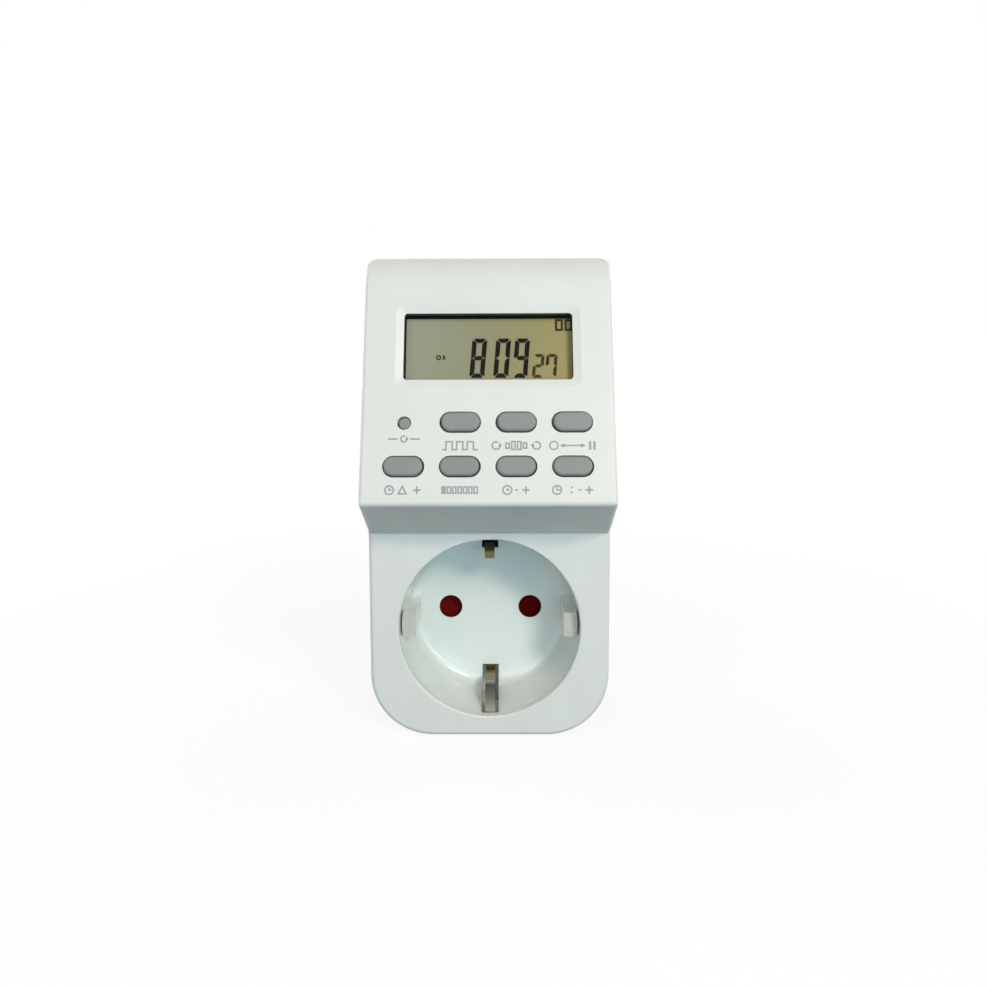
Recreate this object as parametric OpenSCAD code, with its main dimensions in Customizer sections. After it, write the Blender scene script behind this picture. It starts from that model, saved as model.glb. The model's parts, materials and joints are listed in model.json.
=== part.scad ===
// Plug-in digital timer switch with a side-earth socket outlet.
// Frame: X across, +Y along the plug pins, +Z up. The origin lies between the
// two pins, in the end face of the round plug. Lengths are millimetres.

/* [Body] */
// Width of the body and the hood
body_w = 53.6; // [52:0.2:58]
// Depth from the socket face to the back plate's outside
body_d = 25; // [24.6:0.2:28]
// Distance from the socket axis down to the body's bottom
axis_to_bottom = 24.8; // [24.2:0.2:28]
// Radius of the two lower corners, seen from the front
corner_r = 14; // [12.5:0.5:14.5]
// Thickness of the housing walls
wall = 2; // [1.8:0.1:2.2]
// Radius of the outer edges of the front housing
edge_r = 1; // [0.6:0.1:1.3]
// Depth of the parting line behind the socket face
parting_d = 17; // [15:0.5:18]
// Height of the tongue on the rear housing
tongue_h = 1.6; // [1:0.2:2.4]

/* [Hood] */
// Height above the axis where the hood's underside starts
hood_foot = 21.8; // [21.6:0.1:24]
// How far the hood's lip stands out from the socket face
lip_out = 16; // [14:0.5:18]
// Height of the lip above the axis
lip_h = 31.3; // [30:0.1:33]
// Lean of the hood's face from upright, in degrees
slope = 20.9; // [18:0.1:23]
// Height of the hood's top above the axis
hood_h = 82.4; // [81.6:0.2:90]
// Radius where the face rolls over into the top
hood_r = 9.5; // [9:0.5:11]
// Radius of the hood's two top corners, seen from the front
hood_corner_r = 2.6; // [2:0.2:4]

/* [Display] */
// Width of the display opening
window_w = 36.1; // [32:0.1:37]
// Height of the display opening
window_h = 14.9; // [12:0.1:15.5]
// Height of the opening's centre up the hood's face
window_u = 34.45; // [34:0.05:35.5]
// Corner radius of the opening
window_r = 0.8; // [0.4:0.1:1.5]
// Width of the bevel around the opening
bevel_w = 1.7; // [1:0.1:1.9]
// Depth of the bevel
bevel_depth = 0.5; // [0.2:0.1:0.8]
// Thickness of the clear window
lens_t = 1; // [0.8:0.1:1.2]
// Thickness of the display cell
lcd_t = 2; // [1.6:0.1:2.4]

/* [Keys] */
// Length of a key
key_w = 8.1; // [7:0.1:8.6]
// Height of a key
key_h = 4; // [3.6:0.1:4.4]
// Spacing of the key columns
key_pitch = 11.7; // [11.3:0.1:11.9]
// Height of the lower key row up the hood's face
row_low = 8.15; // [7.9:0.05:8.6]
// Height of the upper key row up the hood's face
row_high = 17.6; // [17.2:0.1:18]
// How far a key stands out of the face
key_proud = 0.8; // [0.5:0.1:1.2]
// Travel of a key
key_travel = 0.6; // [0.4:0.1:0.7]
// Gap around a key and the reset button in their holes
key_gap = 0.3; // [0.25:0.05:0.4]
// How far the upper keys stand right of their holes' middle
key_shift_high = 0.12; // [-0.15:0.03:0.15]
// How far the lower keys stand right of their holes' middle
key_shift_low = -0.06; // [-0.15:0.03:0.15]
// Edge radius of a key
key_edge = 0.5; // [0.2:0.05:0.6]
// Diameter of the reset button
reset_d = 2.3; // [2:0.1:2.8]
// How far the reset button lies below the face
reset_sunk = 0.4; // [0.2:0.1:0.8]
// Travel of the reset button
reset_travel = 0.5; // [0.3:0.1:0.6]

/* [Socket] */
// Radius of the recess at its mouth
cup_r = 20.3; // [19.9:0.1:20.6]
// Radius of the recess at its floor
cup_floor_r = 19.1; // [18.8:0.1:19.3]
// Depth of the recess below the socket face
cup_depth = 17.5; // [17:0.1:18]
// Thickness of the recess wall
cup_wall = 1.6; // [1.2:0.1:1.8]
// Thickness of the recess floor
cup_floor = 2; // [1.6:0.1:2.1]
// Radius between the recess wall and its floor
cup_fillet = 2.5; // [1.5:0.1:3]
// Spacing of the two pins and of the two pin holes
pin_pitch = 19; // [18.8:0.1:19.2]
// Diameter of the pin holes
pin_hole_d = 5.5; // [5.2:0.1:5.8]
// Width of the guide ribs
rib_w = 5.4; // [4.6:0.1:5.8]
// Distance from the axis to a guide rib's inner face
rib_reach = 16.8; // [16.4:0.1:17.2]
// Depth of the guide ribs' front end below the socket face
rib_start = 3.2; // [2.5:0.1:5]
// Width of the slots for the earth clips
slot_w = 3.85; // [3.6:0.05:4.2]
// Distance from the axis to a slot's inner end
slot_reach = 14.4; // [14.2:0.1:14.8]
// Distance between axis and the earth clip's crest
clip_reach = 14.5; // [14.3:0.1:15]
// Depth of the clip's crest below the socket face
clip_crest_d = 7; // [6:0.5:8]
// Depth of the clip's end below the socket face
clip_start_d = 1.2; // [1:0.1:3]
// Lean of the clip's lead-in from the axis, in degrees
clip_lean = 44; // [35:1:45]
// Radius of the clip's bend at its crest
clip_bend_r = 1.5; // [1:0.1:2]
// Width of the earth clips
clip_w = 2.2; // [2:0.1:3.2]
// Thickness of the shutter
shutter_t = 1.6; // [1.4:0.1:1.7]

/* [Plug] */
// Length of the round plug behind the back plate
plug_h = 17.5; // [17:0.1:18]
// Radius of the plug
plug_r = 18.6; // [18.4:0.1:19]
// Wall of the plug
plug_wall = 2; // [1.8:0.1:2.1]
// Thickness of the plug's end wall
end_wall = 2.5; // [2:0.1:3]
// Diameter of the plug pins
pin_d = 4.8; // [4.7:0.05:4.9]
// Length of the plug pins
pin_len = 19; // [18.5:0.1:19.5]
// Width of the notches for the guide ribs
notch_w = 6.2; // [5.9:0.1:6.8]
// Distance from the axis to a notch's floor
notch_reach = 16.3; // [16.1:0.1:16.4]

/* [Boards] */
// Thickness of the circuit boards
board_t = 1.6; // [1.4:0.1:1.7]
// Thickness of the brass and copper strips
strip_t = 0.6; // [0.5:0.1:0.7]
// Diameter of the housing screws
screw_d = 2.9; // [2.5:0.1:3]
// Diameter of the board screws
board_screw_d = 1.8; // [1.6:0.1:2]

/* [Hidden] */

$fn = 96;
fit = 0.15;          // gap between moulded pieces that slide together
seat = 0.02;         // gap where a screw or a rivet fills its hole
eps = 0.5;           // overrun of a cut past the face it opens
roll_step = 0.01;    // keeps the rounding beside the roll clear of the straight one

// Depths below the socket face
face_y = -(body_d + plug_h);
back_in_d = body_d - wall;
cup_back_d = cup_depth + cup_floor;
shutter_gap = 0.3;
shutter_d = cup_back_d + shutter_gap;
strip_room = 1.1;    // from the front of the strips to the back plate
strip_d = back_in_d - strip_room;
power_d = strip_d - board_t;
plug_end_d = body_d + plug_h;
plug_in_d = plug_end_d - end_wall;

// Depths below the hood's face
flange_d = wall + 0.2;
flange_t = 0.8;
lens_d = wall;
lcd_d = lens_d + lens_t + 0.1;
board_d = 7;
board_back_d = board_d + board_t;
mat_t = 0.8;
mat_h = 15.6;

// Keys: the reset hole and the centres of the columns
reset_hole_d = reset_d + 2 * key_gap;
reset_u = row_high - 0.16;
col_x = [for (i = [0:3]) (i - 1.5) * key_pitch];

// Screws: the lower posts stand just outside the recess's flange, at 45 degrees,
// and the upper ones midway between the start of the roll and the top wall
cup_flange_r = cup_r + cup_wall + 0.5;
screw_post_r = 2.2;
screw_seat_r = 3.6;
screw_low_reach = cup_flange_r + screw_post_r + 0.35;
screw_low = screw_low_reach * [cos(45), -sin(45)];
roll_start_z = hood_h - hood_r + (hood_r - wall) * sin(slope);
screw_top = [body_w / 2 - 5.8, (roll_start_z + hood_h - wall) / 2];
screw_head_r = 2.6;
screw_head_d = 3;
screw_head_h = 2;
screw_len = 13;

// Boards: outlines and the places of their screw posts
control_w = body_w - 2 * wall - 1.6;
control_low = 1.6;
control_high = 47.2;
board_post_r = 1.9;
board_post_x = control_w / 2 - 2;
board_posts = [[board_post_x, control_low + 2], [board_post_x + 0.3, control_high - 2]];
power_w = 40;
power_low = 27.4;
power_high = 72;
power_post_r = 2.4;
power_posts = [[power_w / 2 - 3.5, power_low + 3.6], [power_w / 2 - 3.5, power_high - 3.5]];

// ---------------------------------------------------------------- geometry

// Unit vector from p to q
function unit(p, q) = (q - p) / norm(q - p);
// Inward normal of the edge p to q on a clockwise outline
function inward(p, q) = let (d = unit(p, q)) [d[1], -d[0]];
// Clockwise outline with every edge moved inwards by t
function inset(pts, t) = let (n = len(pts)) [for (i = [0:n - 1])
    let (p = pts[(i + n - 1) % n], c = pts[i], q = pts[(i + 1) % n],
         a = inward(p, c), b = inward(c, q))
    c + (a + b) * t / (1 + a * b)];

// The waste at the corner c between p and q when it is rounded to radius r
module corner_waste(p, c, q, r) {
    a = unit(c, p);
    b = unit(c, q);
    half = acos(a * b) / 2;
    reach = r / tan(half);
    centre = c + unit([0, 0], a + b) * r / sin(half);
    difference() {
        polygon([c - (a + b) * 0.2, c + a * reach - b * 0.2, c + a * reach, centre,
                 c + b * reach, c + b * reach - a * 0.2]);
        translate(centre) circle(r);
    }
}

// Outline with each convex corner i rounded to radii[i]
module rounded(pts, radii) {
    n = len(pts);
    difference() {
        polygon(pts);
        for (i = [0:n - 1])
            if (radii[i] > 0.05)
                corner_waste(pts[(i + n - 1) % n], pts[i], pts[(i + 1) % n], radii[i]);
    }
}

// A slot outline with round ends, w long and h high
module stadium(w, h) {
    square([w - h, h], center = true);
    for (s = [-1, 1]) translate([s * (w - h) / 2, 0]) circle(h / 2);
}

// Rectangle with round corners
module soft_square(w, h, r) {
    square([w - 2 * r, h], center = true);
    square([w, h - 2 * r], center = true);
    for (x = [-1, 1], y = [-1, 1])
        translate([x * (w / 2 - r), y * (h / 2 - r)]) circle(r, $fn = 32);
}

// Children drawn with y as the depth below the socket face
module at_face() translate([0, face_y, 0]) children();
// Children drawn flat on the hood's face: x across, y up the face, z outwards
module on_hood() translate([0, face_y - lip_out, lip_h]) rotate([90 - slope, 0, 0]) children();
// A flat outline in x and z, filled from depth a to depth b
module deep(a, b) translate([0, b, 0]) rotate([90, 0, 0]) linear_extrude(b - a) children();
// A flat outline in y and z, filled across x by width w
module across(w) rotate([90, 0, 90]) linear_extrude(w, center = true) children();
// A round bar along the depth
module bar(r, a, b) translate([0, a, 0]) rotate([-90, 0, 0]) cylinder(r = r, h = b - a);
// Copies on both sides of the middle plane
module both_sides() for (s = [0, 1]) mirror([s, 0, 0]) children();

// ------------------------------------------------------------- outer shape

// Side outline, clockwise from the socket face's foot: depth and height
side_pts = [
    [0, -axis_to_bottom],
    [0, hood_foot],
    [-lip_out, lip_h],
    [-lip_out + (hood_h - lip_h) * tan(slope), hood_h],
    [body_d, hood_h],
    [body_d, -axis_to_bottom]
];
side_radii = [edge_r, 0, edge_r, hood_r, edge_r, edge_r];
// Front outline, clockwise from the lower left corner
front_pts = [for (c = [[-1, -axis_to_bottom], [-1, hood_h], [1, hood_h], [1, -axis_to_bottom]])
    [c[0] * body_w / 2, c[1]]];
front_radii = [corner_r, hood_corner_r, hood_corner_r, corner_r];

// The whole outer shape, moved in by t, between two depths
module body_solid(t, from_d, to_d) {
    intersection() {
        across(body_w) rounded(inset(side_pts, t), [for (r = side_radii) r - t]);
        deep(from_d, to_d) rounded(inset(front_pts, t), [for (r = front_radii) r - t]);
    }
}

// Waste along a straight edge on the z axis, with the material at +x and +y
module edge_waste(length) {
    linear_extrude(length) difference() {
        translate([-eps, -eps]) square(edge_r + eps);
        translate([edge_r, edge_r]) circle(edge_r);
    }
}

// Waste along the left side's edge from p to q, both as depth and height
module side_edge_waste(p, q) {
    n = inward(p, q);
    translate([-body_w / 2, p[0], p[1]])
        rotate([atan2(n[1], n[0]), 0, 0]) edge_waste(norm(q - p));
}

// Ring that rounds the edge of a disc of radius r, at the base of the z axis
module ring_waste(r, turn) {
    rotate_extrude(angle = turn) difference() {
        translate([r - edge_r, -eps]) square(edge_r + eps);
        translate([r - edge_r, edge_r]) circle(edge_r);
    }
}

// Everything that rounds the front housing's edges beside its flat sides
module front_edges_waste() {
    roll = side_pts[3];
    roll_reach = hood_r * tan((90 - slope) / 2);
    roll_start = roll - unit(side_pts[2], roll) * roll_reach;
    roll_centre = [roll[0] + roll_reach, hood_h - hood_r];
    both_sides() {
        side_edge_waste([0, corner_r - axis_to_bottom], side_pts[1]);
        side_edge_waste(side_pts[1], side_pts[2] + unit(side_pts[1], side_pts[2]) * edge_r);
        side_edge_waste(side_pts[2] - unit(side_pts[2], roll) * edge_r,
            roll_start + unit(side_pts[2], roll) * 5 * roll_step);
        translate([-body_w / 2, roll_centre[0], roll_centre[1]])
            rotate([0, 90, 0]) rotate([0, 0, 180]) ring_waste(hood_r + roll_step, 90 - slope);
        translate([corner_r - body_w / 2, 0, corner_r - axis_to_bottom])
            mirror([1, 0, 0]) rotate([-90, 0, 0]) ring_waste(corner_r, 90);
    }
}

// Everything that rounds the back plate's edges beside its top and bottom ones
module back_edges_waste() both_sides() {
    side_edge_waste([body_d, hood_h - hood_corner_r], [body_d, corner_r - axis_to_bottom]);
    translate([corner_r - body_w / 2, body_d, corner_r - axis_to_bottom])
        rotate([-90, 0, 180]) ring_waste(corner_r, 90);
    translate([hood_corner_r - body_w / 2, body_d, hood_h - hood_corner_r])
        mirror([1, 0, 0]) rotate([90, 0, 0]) ring_waste(hood_corner_r, 90);
}

// ----------------------------------------------------------- the housings

module screw_places() both_sides() for (p = [screw_low, screw_top])
    translate([p[0], 0, p[1]]) children();

// Stadium-shaped key holes, each moved to its place on the hood
module key_places() {
    for (c = col_x) translate([c, row_low]) children();
    for (i = [1:3]) translate([col_x[i], row_high]) children();
}

// Four-sided bevel that leads into the display opening
module window_bevel() hull() {
    linear_extrude(0.01) soft_square(window_w + 2 * bevel_w, window_h + 2 * bevel_w, bevel_w);
    translate([0, 0, -bevel_depth])
        linear_extrude(0.01) soft_square(window_w, window_h, window_r);
}

module hood_cuts() on_hood() {
    translate([0, window_u, -wall - eps])
        linear_extrude(wall + 2 * eps) soft_square(window_w, window_h, window_r);
    translate([0, window_u, 0]) window_bevel();
    translate([0, 0, -wall - eps]) linear_extrude(wall + 2 * eps) {
        key_places() stadium(key_w + 2 * key_gap, key_h + 2 * key_gap);
        translate([col_x[0], reset_u]) circle(d = reset_hole_d);
    }
}

module board_post_places() both_sides() for (p = board_posts) translate(p) children();

module front_housing() color("gainsboro") at_face() difference() {
    union() {
        difference() {
            body_solid(0, -2 * lip_out, parting_d);
            front_edges_waste();
            body_solid(wall, -2 * lip_out, body_d);
        }
        intersection() {
            body_solid(wall / 2, -2 * lip_out, parting_d - tongue_h - fit);
            union() {
                screw_places() bar(screw_post_r, wall / 2, parting_d);
                translate([0, -face_y, 0]) on_hood() board_post_places()
                    translate([0, 0, -board_d]) cylinder(r = board_post_r, h = board_d - wall / 2);
            }
        }
    }
    deep(parting_d - tongue_h - fit, parting_d + eps)
        rounded(inset(front_pts, wall / 2 - fit / 2), [for (r = front_radii) r - wall / 2]);
    screw_places() bar(screw_d / 2 + seat, parting_d - 10, parting_d + eps);
    bar(cup_r, -eps, wall + eps);
    rotate([-90, 0, 0]) rotate_extrude() difference() {
        translate([cup_r - eps, -eps]) square(eps + 0.4);
        translate([cup_r + 0.4, 0.4]) circle(0.4);
    }
    translate([0, -face_y, 0]) {
        hood_cuts();
        on_hood() board_post_places() translate([0, 0, -board_d - eps])
            cylinder(d = board_screw_d + 2 * seat, h = board_d - wall - 0.5 + eps);
    }
}

module rear_housing() color("whitesmoke") at_face() {
    difference() {
        union() {
            difference() {
                body_solid(0, parting_d, body_d);
                back_edges_waste();
                body_solid(wall, -2 * lip_out, back_in_d);
            }
            deep(parting_d - tongue_h, parting_d) difference() {
                rounded(inset(front_pts, wall / 2 + fit / 2),
                    [for (r = front_radii) r - wall / 2 - fit / 2]);
                rounded(inset(front_pts, wall), [for (r = front_radii) r - wall]);
            }
            screw_places() {
                bar(screw_post_r, parting_d - tongue_h, body_d - eps);
                bar(screw_seat_r, body_d - screw_head_d - 1.2, body_d - eps);
            }
            for (t = [45:90:315]) rotate([0, t, 0]) translate([clamp_reach, 0, 0])
                bar(clamp_r, cup_back_d, body_d - eps);
            both_sides() for (p = power_posts)
                translate([p[0], 0, p[1]]) bar(power_post_r, strip_d, body_d - eps);
            bar(plug_r, body_d - eps, plug_end_d);
        }
        deep(back_in_d - eps, plug_in_d) difference() {
            circle(plug_r - plug_wall);
            both_sides() translate([notch_reach - notch_wall, -notch_w / 2 - notch_wall])
                square([plug_r, notch_w + 2 * notch_wall]);
        }
        screw_places() {
            bar(screw_d / 2 + fit, parting_d - tongue_h - eps, body_d + eps);
            bar(screw_head_r + fit, body_d - screw_head_d, body_d + eps);
        }
        both_sides() {
            for (p = power_posts)
                translate([p[0], 0, p[1]]) bar(board_screw_d / 2 + seat, strip_d - eps, body_d - 0.6);
            translate([notch_reach, body_d, -notch_w / 2])
                cube([plug_r, plug_h + eps, notch_w]);
            translate([pin_pitch / 2, 0, 0])
                bar(pin_collar_r + seat, plug_in_d - eps, plug_end_d + eps);
        }
        for (s = [-1, 1]) translate([-plug_strap_w / 2 - fit, plug_window_d, s > 0 ? 0 : -2 * plug_r])
            cube([plug_strap_w + 2 * fit, plug_window_end_d - plug_window_d, 2 * plug_r]);
    }
}

// --------------------------------------------------------------- the socket

// Half outline of the recess's inside: radius and depth
module cup_inside(extra) {
    f = cup_fillet;
    lean = atan((cup_r - cup_floor_r) / (cup_depth - wall));
    rounded([
        [0, wall - extra],
        [0, cup_depth],
        [cup_floor_r, cup_depth],
        [cup_r + extra * tan(lean), wall - extra]
    ], [0, 0, f, 0]);
}

module turned() rotate([-90, 0, 0]) rotate_extrude() children();

// Slot for an earth clip, in the upper half
module clip_slot() {
    translate([-slot_w / 2, wall - eps, slot_reach])
        cube([slot_w, cup_back_d + eps, cup_r + slot_extra - slot_reach]);
}

// Peg that stops the shutter's lobe, at an angle about the socket axis
module stop_peg(turn) rotate([0, -turn, 0])
    translate([peg_reach, 0, 0]) bar(peg_r, cup_back_d - eps, shutter_d + shutter_t);

module socket_cup() color("white") at_face() difference() {
    union() {
        turned() difference() {
            union() {
                polygon([[0, wall], [0, cup_back_d], [cup_floor_r + cup_wall - 1, cup_back_d],
                    [cup_floor_r + cup_wall, cup_back_d - 1], [cup_r + cup_wall, wall]]);
                translate([0, wall]) square([cup_flange_r, 1.5]);
            }
            cup_inside(eps);
        }
        intersection() {
            both_sides() translate([rib_reach, rib_start, -rib_w / 2])
                cube([cup_r - rib_reach + 1, cup_back_d - rib_start, rib_w]);
            bar(cup_floor_r + 0.8, wall, cup_back_d);
        }
        bar(pivot_r, cup_back_d - eps, strip_d - 0.2);
        for (s = [0, 180], t = [-peg_rest, shutter_turn + peg_rest]) rotate([0, s, 0]) stop_peg(t);
    }
    both_sides() translate([pin_pitch / 2, 0, 0]) bar(pin_hole_d / 2, cup_depth - 3, cup_back_d + eps);
    for (s = [0, 180]) rotate([0, s, 0]) clip_slot();
    bar(2.4, cup_depth - eps, cup_depth + 0.12);
}

// Shutter: two lobes that cover the pin holes and turn about the middle
lobe_half = 22;
ramp_lean = 8;
shutter_turn = 42;
shutter_r = 13;
pivot_r = 2.5;
pivot_gap = 0.08;
peg_r = 0.8;
peg_reach = 11;
peg_rest = lobe_half + asin(peg_r / peg_reach) + 0.8;
spring_r = 3.4;
spring_wire_r = 0.3;
slot_extra = 0.9;
clamp_reach = 19.2;
clamp_r = 1.5;
notch_wall = 1;

module shutter() color("darkred") at_face() difference() {
    deep(shutter_d, shutter_d + shutter_t) difference() {
        union() {
            circle(r = 4.8);
            intersection() {
                circle(r = shutter_r);
                both_sides() polygon([[0, 0], [2 * shutter_r, 2 * shutter_r * tan(lobe_half)],
                    [2 * shutter_r, -2 * shutter_r * tan(lobe_half)]]);
            }
        }
        circle(r = pivot_r + pivot_gap);
    }
    bar(spring_r + spring_wire_r + 0.2, shutter_d + 0.6, shutter_d + shutter_t + eps);
    for (s = [0, 180]) rotate([0, s, 0]) translate([pin_pitch / 2, shutter_d, pin_hole_d / 2 + 0.6])
        rotate([ramp_lean, 0, 0]) translate([-2.6, -2, -pin_hole_d - 2]) cube([5.2, 2, pin_hole_d + 2]);
}

module shutter_spring() color("silver") at_face()
    for (i = [0, 1]) translate([0, shutter_d + 0.95 + i * (2 * spring_wire_r - 0.04), 0])
        turned() translate([spring_r, 0]) circle(spring_wire_r, $fn = 24);

function backwards(pts) = [for (i = [len(pts) - 1:-1:0]) pts[i]];

// A bent strip: the polyline's points moved to its left by t close the outline
module strip_outline(pts, t) {
    n = len(pts);
    left = [for (i = [0:n - 1])
        let (a = unit(pts[max(i - 1, 0)], pts[max(i, 1)]),
             b = unit(pts[min(i, n - 2)], pts[min(i + 1, n - 1)]),
             na = [-a[1], a[0]], nb = [-b[1], b[0]])
        pts[i] + (na + nb) * t / (1 + na * nb)];
    polygon(concat(pts, [for (i = [n - 1:-1:0]) left[i]]));
}

// Point of the clip's crest, an arc, at an angle from the place nearest to the axis
function crest_at(a) = [clip_crest_d + clip_bend_r * sin(a), clip_reach + clip_bend_r * (1 - cos(a))];

// Upper half of the clip strap, as depth and height, from mouth to middle
clip_lead = crest_at(-clip_lean);
clip_pts = [
    clip_lead - (clip_lead[0] - clip_start_d) * [1, -tan(clip_lean)],
    for (i = [5:-1:0]) crest_at(-clip_lean * i / 5),
    [cup_back_d - 3, clip_reach + 1],
    [strip_d, clip_reach + 1.2],
    [strip_d, 0]
];

module earth_clip_strap() color("goldenrod") at_face()
    for (s = [0, 180]) rotate([0, s, 0]) {
        across(clip_w) strip_outline(clip_pts, strip_t);
        translate([-2.2, strip_d, 0]) cube([4.4, strip_t, clip_reach - 1]);
    }

// ----------------------------------------------------------------- the plug

plug_strap_w = 4.6;
plug_window_d = body_d + 2;
plug_window_end_d = plug_in_d;
plug_strap_pts = [
    [strip_d + strip_t, 0],
    [strip_d + strip_t, plug_r - plug_wall - 1.2],
    [plug_window_d, plug_r - plug_wall - 1.2],
    [plug_window_d + 2.5, plug_r - 1],
    [plug_window_end_d - 2.2, plug_r - 1],
    [plug_window_end_d - 0.8, plug_r - plug_wall - 0.4]
];

module plug_earth_strap() color("gold") at_face()
    for (s = [0, 180]) rotate([0, s, 0]) across(plug_strap_w)
        strip_outline(backwards(plug_strap_pts), strip_t);

// Stack inside the plug, as depths
pin_flange_t = 1.2;
pin_flange_d = plug_in_d - pin_flange_t;
eye_d = pin_flange_d - strip_t;
carrier_t = 1.4;
carrier_d = eye_d - carrier_t;
contact_base_d = carrier_d - 2 * strip_t;
tail_r = 1.3;
pin_flange_r = 3.8;
pin_collar_r = pin_d / 2 + 0.2;
pin_collar_out = 0.3;
pin_tip_r = 1.2;

// One side of a socket contact's jaw, as x and depth, and the strip's height
contact_h = 6.4;
jaw_root = 3.1;
jaw_gap = 2.25;
jaw_mouth_d = body_d - 0.8;
jaw_pts = [[jaw_root, contact_base_d], [jaw_root, contact_base_d - 3],
    [jaw_gap, jaw_mouth_d + 3.8], [jaw_gap, jaw_mouth_d + 2.6], [jaw_gap + 0.85, jaw_mouth_d]];
contact_half = jaw_root + strip_t;

// The carrier ends short of the plug's notch walls, and has a rib on each side of a contact
carrier_gap = 0.3;
carrier_h = 12;
carrier_half = notch_reach - notch_wall - carrier_gap;
rib_t = 1;
rib_room = 2.2;
rib_low_d = strip_d + 2 * strip_t + 0.9;
rib_in_x = pin_pitch / 2 - contact_half - rib_room - rib_t;
rib_out_x = pin_pitch / 2 + contact_half + carrier_gap;

module carrier_rib(from_x, to_x) translate([from_x, rib_low_d, -carrier_h / 2])
    cube([to_x - from_x, carrier_d + carrier_t / 2 - rib_low_d, carrier_h]);

module contact_carrier() color("beige") at_face() difference() {
    union() {
        deep(carrier_d, eye_d) square([2 * carrier_half, carrier_h], center = true);
        both_sides() {
            carrier_rib(rib_in_x, rib_in_x + rib_t);
            carrier_rib(rib_out_x, carrier_half);
        }
    }
    both_sides() translate([pin_pitch / 2, 0, 0]) bar(tail_r + 0.3, carrier_d - eps, eye_d + eps);
}

module contact_spring() {
    translate([-contact_half, contact_base_d, -contact_h / 2])
        cube([2 * contact_half, strip_t, contact_h]);
    both_sides() translate([0, 0, -contact_h / 2]) linear_extrude(contact_h)
        strip_outline(backwards(jaw_pts), strip_t);
}

module live_contact() color("darkgoldenrod") at_face()
    translate([-pin_pitch / 2, 0, 0]) contact_spring();

module neutral_contact() color("darkgoldenrod") at_face()
    translate([pin_pitch / 2, 0, 0]) difference() {
        union() {
            contact_spring();
            translate([-jaw_root, contact_base_d + strip_t, -jaw_root])
                cube([2 * jaw_root, strip_t, 2 * jaw_root]);
        }
        bar(tail_r + seat, contact_base_d - eps, carrier_d + eps);
    }

// Plug pin with a round tip, a collar in the end wall, a flange and a riveted tail
module plug_pin(tail_d) turned() {
    difference() {
        translate([0, plug_in_d]) square([pin_d / 2, end_wall + pin_len]);
        translate([pin_d / 2 - pin_tip_r, plug_end_d + pin_len - pin_tip_r]) difference() {
            square(pin_tip_r + eps);
            circle(pin_tip_r);
        }
    }
    translate([0, plug_in_d]) square([pin_collar_r, end_wall + pin_collar_out]);
    translate([0, pin_flange_d]) square([pin_flange_r, pin_flange_t]);
    translate([0, tail_d]) square([tail_r, pin_flange_d - tail_d]);
}

module live_pin() color("lightgray") at_face()
    translate([-pin_pitch / 2, 0, 0]) plug_pin(eye_d - 0.8);

module neutral_pin() color("lightgray") at_face()
    translate([pin_pitch / 2, 0, 0]) plug_pin(contact_base_d - 0.2);

// Strip from a pin's eye, up inside the plug and up behind the power board
bus_w = 3.6;
bus_room = 0.5;
bus_corner_x = pin_pitch / 2 + bus_w / 2;
bus_z = sqrt(pow(plug_r - plug_wall - bus_room, 2) - pow(bus_corner_x, 2)) - strip_t;
bus_top = 31.5;
module busbar() difference() {
    union() {
        translate([-bus_w / 2, eye_d, -contact_h / 2])
            cube([bus_w, strip_t, bus_z + contact_h / 2 + strip_t]);
        translate([-contact_h / 2, eye_d, -contact_h / 2]) cube([contact_h, strip_t, contact_h]);
        translate([-bus_w / 2, strip_d, bus_z]) cube([bus_w, eye_d - strip_d + strip_t, strip_t]);
        translate([-bus_w / 2, strip_d, bus_z]) cube([bus_w, strip_t, bus_top - bus_z]);
    }
    bar(tail_r + seat, eye_d - eps, pin_flange_d + eps);
}

module live_busbar() color("peru") at_face() translate([-pin_pitch / 2, 0, 0]) busbar();
module neutral_busbar() color("peru") at_face() translate([pin_pitch / 2, 0, 0]) busbar();

// Strip from the relay to the switched contact
load_w = 2.4;
load_in = 2.6;
load_x = load_in - pin_pitch / 2;
load_low = 3;
load_z = 8.6;
module load_busbar() color("chocolate") at_face() {
    translate([load_x, carrier_d - strip_t, -load_low])
        cube([load_w, strip_t, load_z + load_low + strip_t]);
    translate([load_x, strip_d, load_z]) cube([load_w, carrier_d - strip_d, strip_t]);
    translate([load_x, strip_d, load_z]) cube([load_w, strip_t, bus_top - load_z]);
}

// -------------------------------------------------------------- the display

holder_w = 40;
holder_h = 18.8;
lcd_w = 38.6;
lcd_h = 17.4;
rubber_w = 34;
rubber_t = 2;
rubber_u = window_u + lcd_h / 2 - 1.6;

// Flat plate on the hood between two depths below its face
module plate(from_d, to_d) translate([0, 0, -to_d]) linear_extrude(to_d - from_d) children();

module display_window() color("aliceblue", 0.4) on_hood()
    translate([0, window_u, 0]) plate(lens_d, lens_d + lens_t) soft_square(lcd_w, lcd_h, 1);

module display_cell() color("darkkhaki") on_hood() translate([0, window_u, 0]) {
    plate(lcd_d, lcd_d + lcd_t / 2) square([lcd_w, lcd_h - 1.2], center = true);
    plate(lcd_d + lcd_t / 2, lcd_d + lcd_t) square([lcd_w, lcd_h], center = true);
}

module display_holder() color("white") on_hood() translate([0, window_u, 0]) difference() {
    plate(lcd_d + 0.4, board_d) square([holder_w, holder_h], center = true);
    plate(lcd_d - eps, lcd_d + lcd_t) square([lcd_w + fit, lcd_h + fit], center = true);
    plate(lcd_d, board_d + eps) square([lcd_w - 6, lcd_h - 8], center = true);
    translate([0, rubber_u - window_u, 0]) plate(lcd_d, board_d + eps)
        square([rubber_w + fit, rubber_t + fit], center = true);
}

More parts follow.
